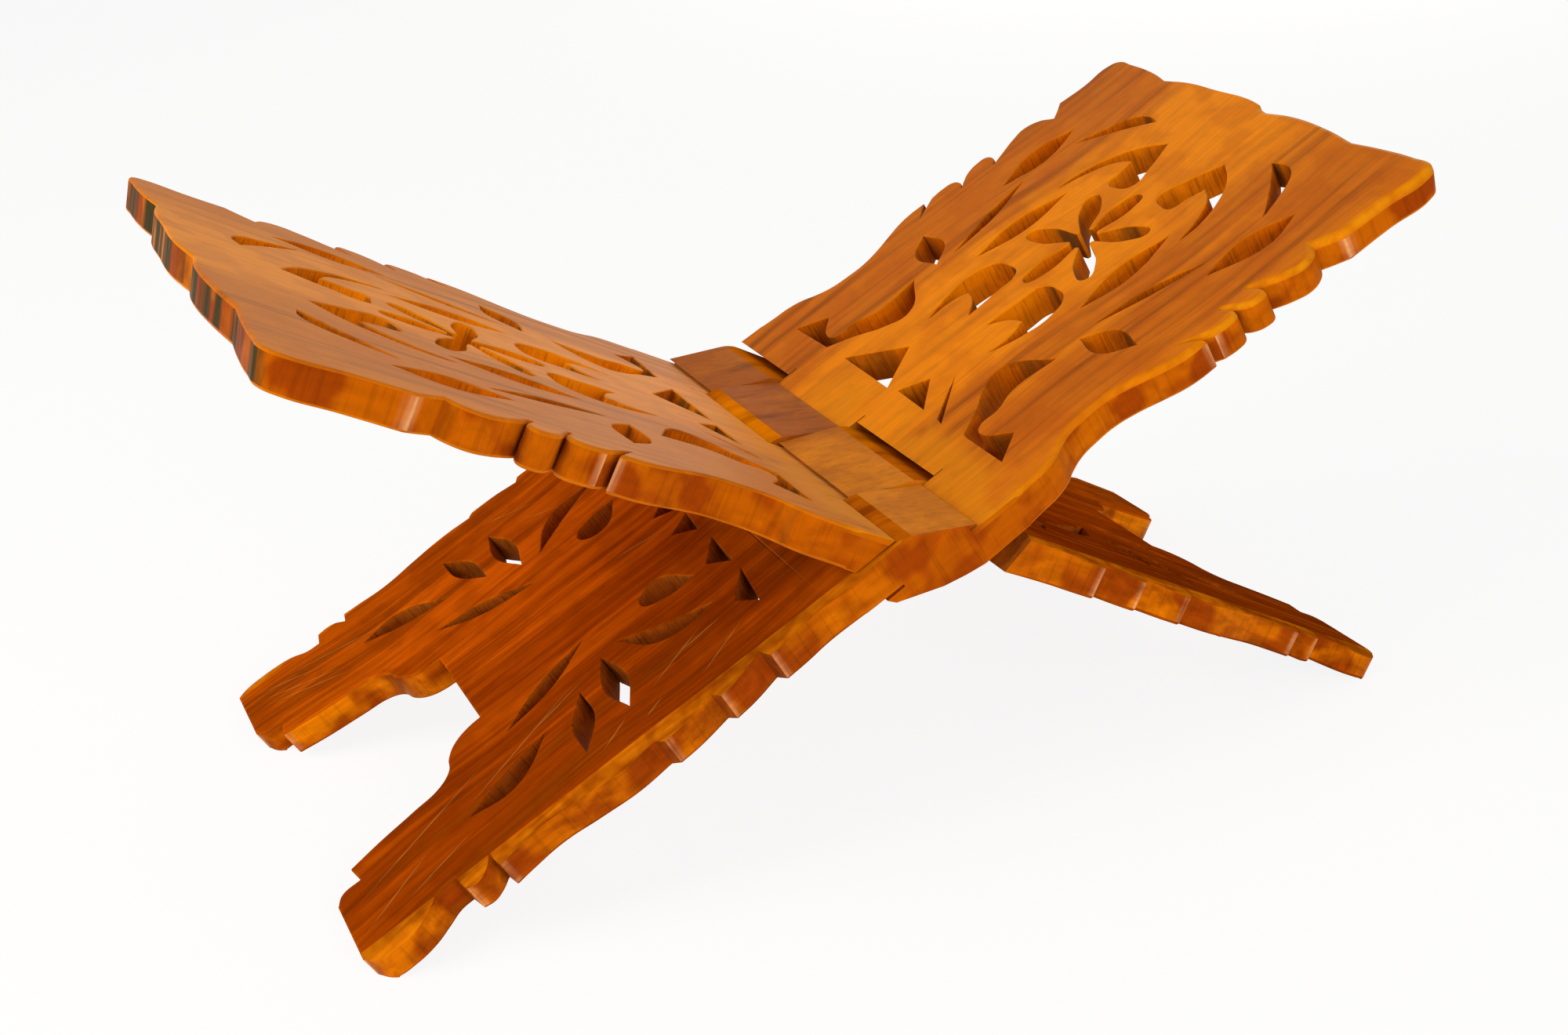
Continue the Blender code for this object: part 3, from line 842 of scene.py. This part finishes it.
@dataclass(frozen=True)
class Leaf:
    """One leaf of the stand: a book rest, its knuckles and, past the hinge, a leg with two feet."""

    node: str
    side: int
    seed: float
    heart: float
    plank: Plank = Plank()
    wear: Wear = Wear()
    curve_steps: int = 8
    spare_depth: float = 1.2
    spare_length: float = 30 * MM
    hinge_zone: float = 2.2
    knuckle_zone: float = 1.7
    weld: float = 0.01 * MM
    plane_step: float = 0.1 * MM
    settling_rounds: int = 12
    flatness: float = 0.9
    smooth_angle: float = math.radians(38)

    def finishes(self) -> list[bpy.types.Material]:
        """Make the leaf's materials.

        Returns:
            The materials in the order of the leaf's surfaces.
        """
        return [
            WoodShader(finish, self.plank, self.side, self.seed, self.heart).material()
            for finish in (PLANED, RIM_SAWN, FRET_SAWN, CHISELLED, LEG_PLANED)
        ]

    def outline_mesh(
        self, outlines: list[tuple[list[Knot], int]], half_depth: float, turn: Matrix
    ) -> bpy.types.Mesh:
        """Extrude a filled outline both ways.

        Args:
            outlines: Rim and holes, each with its steps per span.
            half_depth: Distance that it is extruded each way.
            turn: Matrix from the flat outline to the leaf.

        Returns:
            A closed mesh.
        """
        data = bpy.data.curves.new("outline", "CURVE")
        data.dimensions = "2D"
        data.fill_mode = "BOTH"
        data.extrude = half_depth
        for knots, steps in outlines:
            spline = data.splines.new("BEZIER")
            spline.bezier_points.add(len(knots) - 1)
            spline.use_cyclic_u = True
            spline.resolution_u = steps
            for point, (across, along, corner) in zip(spline.bezier_points, knots):
                point.co = (across, along, 0)
                point.handle_left_type = corner.value
                point.handle_right_type = corner.value
        item = link_object("outline", data)
        mesh = bpy.data.meshes.new_from_object(item.evaluated_get(bpy.context.evaluated_depsgraph_get()))
        bpy.data.objects.remove(item, do_unlink=True)
        with edited(mesh) as shape:
            bmesh.ops.remove_doubles(shape, verts=shape.verts, dist=self.weld)
            bmesh.ops.transform(shape, matrix=turn, verts=shape.verts)
            bmesh.ops.recalc_face_normals(shape, faces=shape.faces)
        return mesh

    def blank(self) -> bpy.types.Mesh:
        """Saw the plan through the plank, with its walls told apart.

        Returns:
            The leaf's plan as a prism thicker than the leaf, its end walls undercut.
        """
        face_on = Matrix(((0, 0, 1, 0), (1, 0, 0, 0), (0, 1, 0, 0), (0, 0, 0, 1)))
        plan = FretPlan(self.plank)
        outlines = [(knots, self.curve_steps) for knots in (plan.rim(), *plan.openings())]
        mesh = self.outline_mesh(outlines, self.spare_depth * self.plank.hinge_thickness, face_on)
        upper = self.plank.upper_length
        first, last = (share * upper for share in self.plank.end_zone)
        with edited(mesh) as shape:
            for band in bands({face for face in shape.faces if abs(face.normal.x) < self.flatness}):
                heights = [vert.co.z for face in band for vert in face.verts]
                surface = Surface.RIM if max(heights) - min(heights) > upper else Surface.FRET
                for face in band:
                    face.material_index = surface
            ends = [face for face in shape.faces if max(vert.co.z for vert in face.verts) > first]
            bmesh.ops.triangulate(shape, faces=ends)
            for vert in shape.verts:
                share = min(max((vert.co.z - first) / (last - first), 0), 1)
                vert.co.z -= share * self.plank.end_undercut * self.side * vert.co.x
        return mesh

    def block(self, size: Vector, place: Matrix) -> bpy.types.Mesh:
        """Make a rectangular block.

        Args:
            size: Its three sides.
            place: Matrix whose origin it stands on.

        Returns:
            A closed mesh.
        """
        mesh = bpy.data.meshes.new("block")
        stretch = Matrix.Translation((0, 0, size.z / 2)) @ Matrix.Diagonal((*size, 1))
        with edited(mesh) as shape:
            bmesh.ops.create_cube(shape, size=1, matrix=place @ stretch)
        return mesh

    def cuts(self) -> list[tuple[str, bpy.types.Mesh, Surface]]:
        """List the cuts that shape the blank.

        Returns:
            The operation of each cut, its solid and the surface that it leaves.
        """
        plank = self.plank
        knuckles = Knuckles(plank)
        end_on = Matrix(((1, 0, 0, 0), (0, 0, -1, 0), (0, 1, 0, 0), (0, 0, 0, 1)))
        section = [(self.side * a, b, S) for a, b in knuckles.section(self.spare_length)]
        made = [("INTERSECT", self.outline_mesh([(section, 1)], plank.width, end_on), Surface.FACE)]
        slot = [(self.side * a, b, S) for a, b in knuckles.slot(self.side)]
        saw = knuckles.overcut_width
        overcut = Vector((2 * knuckles.overcut_depth, saw, 2 * knuckles.overcut_length))
        foot = knuckles.notch_inner * plank.hinge_thickness - knuckles.overcut_length
        for far, near in knuckles.slots(self.side):
            middle = Matrix.Translation((0, (far + near) / 2, 0))
            solids = [self.outline_mesh([(slot, 1)], (far - near) / 2, middle @ end_on)]
            for end in (far - saw / 2, near + saw / 2):
                if abs(end) < plank.hinge_width / 2:
                    solids.append(self.block(overcut, Matrix.Translation((0, end, foot))))
            made += [("DIFFERENCE", solid, Surface.HINGE) for solid in solids]
        below = self.standing().inverted() @ Matrix.Translation((0, 0, -self.spare_length))
        made.append(("DIFFERENCE", self.block(Vector((1, 1, self.spare_length)), below), Surface.FACE))
        return made

    def standing(self) -> Matrix:
        """Give the matrix that opens the leaf about the hinge, on the floor."""
        lift = Matrix.Translation((0, 0, self.plank.axis_height))
        return lift @ Matrix.Rotation(self.side * self.plank.half_angle, 4, "Y")

    def shaped(self, finishes: list[bpy.types.Material]) -> bmesh.types.BMesh:
        """Cut the blank to the leaf.

        Args:
            finishes: Materials in the order of the surfaces.

        Returns:
            The leaf with sharp edges, in its own frame.
        """
        leaf = link_object("blank", self.blank())
        solids = [leaf]
        for operation, mesh, surface in self.cuts():
            for face in mesh.polygons:
                face.material_index = surface
            solid = link_object("cut", mesh)
            step = leaf.modifiers.new("cut", "BOOLEAN")
            step.operation = operation
            step.solver = "EXACT"
            step.object = solid
            solids.append(solid)
        for solid in solids:
            for finish in finishes:
                solid.data.materials.append(finish)
        shape = bmesh.new()
        shape.from_object(leaf, bpy.context.evaluated_depsgraph_get())
        for solid in solids:
            bpy.data.objects.remove(solid, do_unlink=True)
        bmesh.ops.remove_doubles(shape, verts=shape.verts, dist=2 * self.weld)
        bmesh.ops.dissolve_degenerate(shape, edges=shape.edges, dist=self.weld)
        return shape

    def easing(self, edge: bmesh.types.BMEdge) -> tuple[float, float]:
        """Give how far an edge of a flat face was eased, and how much of its varnish is gone.

        Args:
            edge: Edge of the sharp leaf.

        Returns:
            The width of its easing, 0 for an edge that stays sharp, and the share of varnish that is gone,
            partly a painted highlight on the right leaf's near rim.
        """
        wear = self.wear
        kinds = {face.material_index for face in edge.link_faces}
        middle = (edge.verts[0].co + edge.verts[1].co) / 2
        handled = 1 if middle.z > 0 else wear.leg_share
        if edge.calc_face_angle(0) < wear.sharp_angle:
            return 0, 0
        if Surface.FRET in kinds:
            return wear.fret_width, wear.fret_rubbed * handled
        if Surface.RIM not in kinds:
            return 0, 0
        if abs(middle.z) < self.hinge_zone * self.plank.hinge_thickness:
            return wear.hinge_width, wear.hinge_rubbed * handled
        share = middle.z / self.plank.upper_length
        across, along = wear.waves
        wave = 0.5 + 0.5 * math.sin(middle.z * along + middle.y * across + self.seed)
        width = wear.rim_width * (wear.rim_least + wear.rim_swing * wave)
        # On the right leaf's near rim the yellow is partly a painted highlight, where its rounded upper edges
        # would catch light from above
        if self.side > 0 and middle.z > 0 > middle.y and middle.x < self.plank.end_thickness / 2:
            least, most = wear.near_rubbed_and_highlit
            rubbed_and_highlit = min(max(share * wear.near_slope[0] - wear.near_slope[1], least), most)
            corner = max(share - wear.corner_start, 0) * wear.corner_slope
            return width * (wear.near_width + rubbed_and_highlit + corner), rubbed_and_highlit
        return width, (wear.right_rubbed if self.side > 0 else wear.left_rubbed) * handled

    def ease(self, shape: bmesh.types.BMesh) -> None:
        """Rub down the edges of the flat faces.

        A bevel would cross itself where the fretwork is tight, so each flat face is given a new border.

        Args:
            shape: The sharp leaf, changed in place.
        """
        shape.loops.layers.float.new("wear_and_highlight")
        planes: dict[tuple[float, ...], list[bmesh.types.BMFace]] = {}
        for face in shape.faces:
            if face.material_index == Surface.FACE and abs(face.normal.x) > self.flatness:
                level = round(face.normal.dot(face.verts[0].co) / self.plane_step)
                planes.setdefault((round(face.normal.x), round(face.normal.z, 2), level), []).append(face)
        for faces in planes.values():
            self.ease_flat(shape, faces)

    def insets(self, normal: Vector, borders: list[tuple]) -> dict[bmesh.types.BMVert, tuple[Vector, float]]:
        """Find how far the border of a flat face moves into it.

        Args:
            normal: Normal of the flat face.
            borders: Edges of the border: both ends, the width of the easing and the share of varnish gone.

        Returns:
            The offset of each vertex that moves, and the width of the easing there.
        """
        turns: dict[bmesh.types.BMVert, list[tuple[Vector, float]]] = {}
        for head, tail, width, _ in borders:
            inward = normal.cross(tail.co - head.co).normalized()
            for vert in (head, tail):
                turns.setdefault(vert, []).append((inward, width))
        offsets: dict[bmesh.types.BMVert, Vector] = {}
        for vert, sides in turns.items():
            if len(sides) == 2 and min(width for _, width in sides) > 0:
                spread = max(1 + sides[0][0].dot(sides[1][0]), self.wear.tightest)
                offsets[vert] = (sides[0][0] + sides[1][0]) / spread * (sides[0][1] + sides[1][1]) / 2
        self.settle(borders, offsets)
        widths = {vert: sum(width for _, width in sides) / 2 for vert, sides in turns.items()}
        return {vert: (offset, widths[vert]) for vert, offset in offsets.items()}

    def ease_flat(self, shape: bmesh.types.BMesh, faces: list[bmesh.types.BMFace]) -> None:
        """Round the border of one flat face, and fill the face anew inside it.

        Args:
            shape: The leaf, changed in place.
            faces: All that makes up the flat face.
        """
        normal = faces[0].normal.copy()
        flat = set(faces)
        borders = [
            (loop.vert, loop.link_loop_next.vert, *self.easing(loop.edge))
            for face in faces for loop in face.loops
            if sum(near in flat for near in loop.edge.link_faces) == 1
        ]
        steps = self.wear.rounding_steps
        rings = {vert: [vert] for head, tail, *_ in borders for vert in (head, tail)}
        sunk: dict[bmesh.types.BMVert, Vector] = {}
        for vert, (offset, width) in self.insets(normal, borders).items():
            ways = [(edge.other_vert(vert).co - vert.co).normalized() for edge in vert.link_edges]
            down = min(ways, key=normal.dot) * width
            for step in range(1, steps + 1):
                angle = math.pi / 2 * step / steps
                place = vert.co + offset * (1 - math.cos(angle)) + down * (1 - math.sin(angle))
                rings[vert].append(shape.verts.new(place))
            sunk[vert] = vert.co + down
        for vert, place in sunk.items():
            vert.co = place
        bmesh.ops.delete(shape, geom=faces, context="FACES_KEEP_BOUNDARY")
        wear_and_highlight = shape.loops.layers.float["wear_and_highlight"]
        for head, tail, _, rubbed_and_highlit in borders:
            for step in range(steps):
                low = [ring[min(step, len(ring) - 1)] for ring in (rings[head], rings[tail])]
                high = [ring[min(step + 1, len(ring) - 1)] for ring in (rings[tail], rings[head])]
                corners = list(dict.fromkeys(low + high))
                if len(corners) > 2:
                    strip = shape.faces.new(corners)
                    strip.material_index = Surface.EASED
                    for loop in strip.loops:
                        # Share of varnish gone, fainter where the strip meets the wall; on the right leaf's
                        # near rim partly a painted highlight
                        inside = loop.vert in low if step else loop.vert in high
                        loop[wear_and_highlight] = rubbed_and_highlit if inside or step == 1 else self.wear.fade * rubbed_and_highlit
        bmesh.ops.remove_doubles(shape, verts=[ring[-1] for ring in rings.values()], dist=self.weld / 2)
        lines = [edge for edge in shape.edges if edge.is_boundary]
        filled = bmesh.ops.triangle_fill(shape, use_beauty=True, edges=lines, normal=normal)["geom"]
        for face in (item for item in filled if isinstance(item, bmesh.types.BMFace)):
            face.material_index = Surface.FACE
            face.normal_update()
            if face.normal.dot(normal) < 0:
                face.normal_flip()

    def settle(self, borders: list[tuple], offsets: dict[bmesh.types.BMVert, Vector]) -> None:
        """Draw together offsets that would cross in a tight corner.

        Args:
            borders: Edges of the border, each with its two ends first.
            offsets: How far each vertex moves into the face, changed in place.
        """
        for _ in range(self.settling_rounds):
            for head, tail, *_ in borders:
                if head in offsets and tail in offsets:
                    ends = head.co + offsets[head], tail.co + offsets[tail]
                    if (ends[1] - ends[0]).dot(tail.co - head.co) < 0:
                        middle = (ends[0] + ends[1]) / 2
                        offsets[head] = middle - head.co
                        offsets[tail] = middle - tail.co

    def plane_facets(self, shape: bmesh.types.BMesh) -> set[bmesh.types.BMFace]:
        """Plane a facet off both long edges of the leg's outer face, widening to the foot.

        Args:
            shape: The eased leaf, changed in place.

        Returns:
            The new facets.
        """
        plank = self.plank
        out = -self.side
        facets: set[bmesh.types.BMFace] = set()
        for edge in (1, -1):
            border = edge * plank.width / 2
            corners = [
                Vector((out * plank.hinge_thickness, border, 0)),
                Vector((out * plank.end_thickness, border - edge * plank.facet_width, -plank.lower_length)),
                Vector((out * (plank.end_thickness - plank.facet_depth), border, -plank.lower_length)),
            ]
            normal = (corners[1] - corners[0]).cross(corners[2] - corners[0]).normalized()
            if normal.x * out < 0:
                normal.negate()
            cut = bmesh.ops.bisect_plane(
                shape, geom=[*shape.verts, *shape.edges, *shape.faces], dist=self.weld / 10,
                plane_co=corners[0], plane_no=normal, clear_outer=True,
            )
            lines = [item for item in cut["geom_cut"] if isinstance(item, bmesh.types.BMEdge)]
            facets |= set(bmesh.ops.holes_fill(shape, edges=lines)["faces"])
        return facets

    def dress(self, shape: bmesh.types.BMesh, facets: set[bmesh.types.BMFace]) -> None:
        """Tell the eased edges, the hinge's own faces, the end grain and the flat faces apart, and paint
        highlights on the rim's arrises.

        Args:
            shape: The eased leaf, changed in place.
            facets: Its planed facets.
        """
        wear = self.wear
        ends = shape.loops.layers.float.new("end_grain")
        wear_and_highlight = shape.loops.layers.float["wear_and_highlight"]
        reach = self.knuckle_zone * self.plank.hinge_thickness
        for face in facets:
            face.material_index = Surface.FACE
            for loop in face.loops:
                loop[wear_and_highlight] = wear.facet_rubbed
        for face in shape.faces:
            kind = face.material_index
            height = face.calc_center_median().z
            face.smooth = kind not in (Surface.FACE, Surface.HINGE)
            if kind == Surface.EASED:
                face.material_index = Surface.FACE
            elif kind == Surface.FACE and abs(face.normal.x) < self.flatness and abs(height) < reach:
                face.material_index = Surface.HINGE
            elif kind in (Surface.RIM, Surface.FRET):
                slope, start = wear.end_grain_slope
                opened = min(max(abs(face.normal.z) * slope - start, 0), 1)
                for loop in face.loops:
                    loop[ends] = opened * (1 if height > 0 else wear.leg_end_grain)
            if face.material_index == Surface.FACE and height < 0:
                face.material_index = Surface.LEG
        self.paint_arris_highlights(shape)
        for edge in shape.edges:
            edge.smooth = edge.calc_face_angle(0) < self.smooth_angle

    def paint_arris_highlights(self, shape: bmesh.types.BMesh) -> None:
        """Paint a pale highlight on the arrises that stand out from the sawn rim, where they would catch the
        light.

        Args:
            shape: The eased leaf, changed in place.
        """
        wear = self.wear
        wear_and_highlight = shape.loops.layers.float["wear_and_highlight"]
        arrises = [
            (edge.verts[0].co + edge.verts[1].co).yz / 2 for edge in shape.edges
            if edge.is_convex and edge.calc_face_angle(0) > wear.arris_angle
            and {face.material_index for face in edge.link_faces} == {Surface.RIM}
        ]
        for face in shape.faces:
            longest = max(edge.calc_length() for edge in face.edges)
            if face.material_index == Surface.RIM and face.calc_area() <= longest * wear.arris_width:
                for loop in face.loops:
                    off = min((loop.vert.co.yz - arris).length for arris in arrises)
                    loop[wear_and_highlight] = wear.arris_highlight * max(1 - off / wear.arris_width, 0)

    def build(self) -> bpy.types.Object:
        """Make the finished leaf and set it on the frame.

        Returns:
            The piece that stands for the leaf.
        """
        finishes = self.finishes()
        shape = self.shaped(finishes)
        self.ease(shape)
        self.dress(shape, self.plane_facets(shape))
        bmesh.ops.transform(shape, matrix=self.standing(), verts=shape.verts)
        bmesh.ops.triangulate(shape, faces=[face for face in shape.faces if len(face.verts) > 4])
        mesh = bpy.data.meshes.new(f"{self.node}_wood")
        shape.to_mesh(mesh)
        shape.free()
        for finish in finishes:
            mesh.materials.append(finish)
        piece = link_object(f"{self.node}_wood", mesh)
        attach(piece, self.node)
        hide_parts(self.node)
        return piece


class Lamp(NamedTuple):
    """A square soft box that faces the stand: its place and width in metres, its power and its tint."""

    name: str
    place: tuple[float, float, float]
    width: float
    watts: float
    tint: str


@dataclass(frozen=True)
class Studio:
    """Pale floor, soft lamps and the camera of the reference view."""

    plank: Plank
    floor_size: float = 8.0
    floor_roughness: float = 0.9
    white: str = "#FFFFFF"
    white_share: float = 0.88
    room_light: float = 0.36
    lamps: tuple[Lamp, ...] = (
        Lamp("key_lamp", (-1.05, 0, 0.82), 0.8, 10.5, "#FFF6EA"),
        Lamp("front_lamp", (0.05, -1.25, 0.5), 0.8, 8, "#FFF9F2"),
        Lamp("sheen_lamp", (1, 1.3, 0.45), 0.9, 4, "#FFF4E6"),
    )
    sensor_width: float = 36
    focal_pixels: float = 2446.68
    picture: tuple[int, int] = (2000, 1320)
    centre_pixels: Pair = (1257.17, 780.70)
    azimuth: float = -0.52495
    elevation: float = 0.46642
    distance: float = 699.58 * MM
    aim: tuple[float, float, float] = (67.78 * MM, -0.08 * MM, -76.2 * MM)
    nearest: float = 10 * MM

    @staticmethod
    def show_white(
        tree: bpy.types.NodeTree, plain: bpy.types.NodeSocket, white: bpy.types.NodeSocket, share: float
    ) -> bpy.types.NodeSocket:
        """Show white to the eye and in reflections, and leave the light that falls on the stand as it is.

        Args:
            tree: Node tree of the floor or the room.
            plain: Shader that the light meets.
            white: Shader that the eye meets.
            share: How much of the white the eye meets.

        Returns:
            Socket of the two mixed.
        """
        ray = add_node(tree, "ShaderNodeLightPath")
        seen = ray.outputs["Is Camera Ray"]
        for kind in ("Is Glossy Ray", "Is Transmission Ray"):
            both = {0: seen, 1: ray.outputs[kind]}
            seen = add_node(tree, "ShaderNodeMath", {"operation": "MAXIMUM"}, both).outputs[0]
        if share < 1:
            part = {0: seen, 1: share}
            seen = add_node(tree, "ShaderNodeMath", {"operation": "MULTIPLY"}, part).outputs[0]
        return add_node(tree, "ShaderNodeMixShader", None, {0: seen, 1: plain, 2: white}).outputs[0]

    def floor(self) -> bpy.types.Object:
        """Lay the floor: matt white paper, which shows as white wherever no shadow falls on it.

        Returns:
            The floor.
        """
        mesh = bpy.data.meshes.new("floor")
        with edited(mesh) as shape:
            bmesh.ops.create_grid(shape, x_segments=1, y_segments=1, size=self.floor_size / 2)
        made = bpy.data.materials.new("matt_paper")
        made.use_nodes = True
        tree = made.node_tree
        paper = tree.nodes["Principled BSDF"]
        paper.inputs["Base Color"].default_value = linear(self.white)
        paper.inputs["Roughness"].default_value = self.floor_roughness
        glow = add_node(tree, "ShaderNodeEmission", None, {"Color": linear(self.white), "Strength": 1.0})
        mixed = self.show_white(tree, paper.outputs[0], glow.outputs[0], self.white_share)
        tree.links.new(mixed, tree.nodes["Material Output"].inputs["Surface"])
        mesh.materials.append(made)
        floor = link_object("floor", mesh)
        return floor

    def world(self) -> bpy.types.World:
        """Make the room: white to the eye and in reflections, dimmer as a light.

        Returns:
            The scene's world.
        """
        made = bpy.data.worlds.new("white_room")
        bpy.context.scene.world = made
        made.use_nodes = True
        tree = made.node_tree
        room = tree.nodes["Background"]
        room.inputs["Color"].default_value = linear(self.white)
        room.inputs["Strength"].default_value = self.room_light
        wall = add_node(tree, "ShaderNodeBackground", None, {"Color": linear(self.white), "Strength": 1.0})
        mixed = self.show_white(tree, room.outputs[0], wall.outputs[0], 1)
        tree.links.new(mixed, tree.nodes["World Output"].inputs["Surface"])
        return made

    def hang(self, lamp: Lamp) -> bpy.types.Object:
        """Hang a lamp.

        Args:
            lamp: What it is and where it hangs.

        Returns:
            The lamp, turned to the hinge.
        """
        data = bpy.data.lights.new(lamp.name, "AREA")
        data.size = lamp.width
        data.energy = lamp.watts
        data.color = linear(lamp.tint)[:3]
        hung = link_object(lamp.name, data)
        hung.location = lamp.place
        towards = Vector((0, 0, self.plank.axis_height)) - Vector(lamp.place)
        hung.rotation_euler = towards.to_track_quat("-Z", "Y").to_euler()
        return hung

    def camera(self) -> bpy.types.Object:
        """Set the camera where the reference picture was taken from.

        Returns:
            The scene's camera.
        """
        width, height = self.picture
        level = math.cos(self.elevation)
        across = Vector((math.sin(self.azimuth), -math.cos(self.azimuth), 0))
        back = across * level + Vector((0, 0, math.sin(self.elevation)))
        data = bpy.data.cameras.new("camera")
        data.sensor_width = self.sensor_width
        data.lens = self.focal_pixels * self.sensor_width / width
        data.shift_x = (width / 2 - self.centre_pixels[0]) / width
        data.shift_y = (self.centre_pixels[1] - height / 2) / width
        data.clip_start = self.nearest
        camera = link_object("camera", data)
        camera.location = Vector(self.aim) + Vector((0, 0, self.plank.axis_height)) + back * self.distance
        camera.rotation_euler = back.to_track_quat("Z", "Y").to_euler()
        bpy.context.scene.camera = camera
        return camera

    def build(self) -> None:
        """Set up the whole studio."""
        bpy.context.scene.view_settings.view_transform = "Standard"
        self.floor()
        self.world()
        for lamp in self.lamps:
            self.hang(lamp)
        self.camera()


def main() -> None:
    """Build the stand and its studio, and note the sizes of the two models."""
    logging.basicConfig(level=logging.INFO, format="%(name)s: %(message)s")
    leaves = [
        Leaf("left_leaf", side=-1, seed=3.7, heart=20),
        Leaf("right_leaf", side=1, seed=0.4, heart=6),
    ]
    for leaf in leaves:
        piece = leaf.build()
        LOG.info("%s: %d faces", piece.name, len(piece.data.polygons))
    Studio(leaves[0].plank).build()


if __name__ == "__main__":
    main()
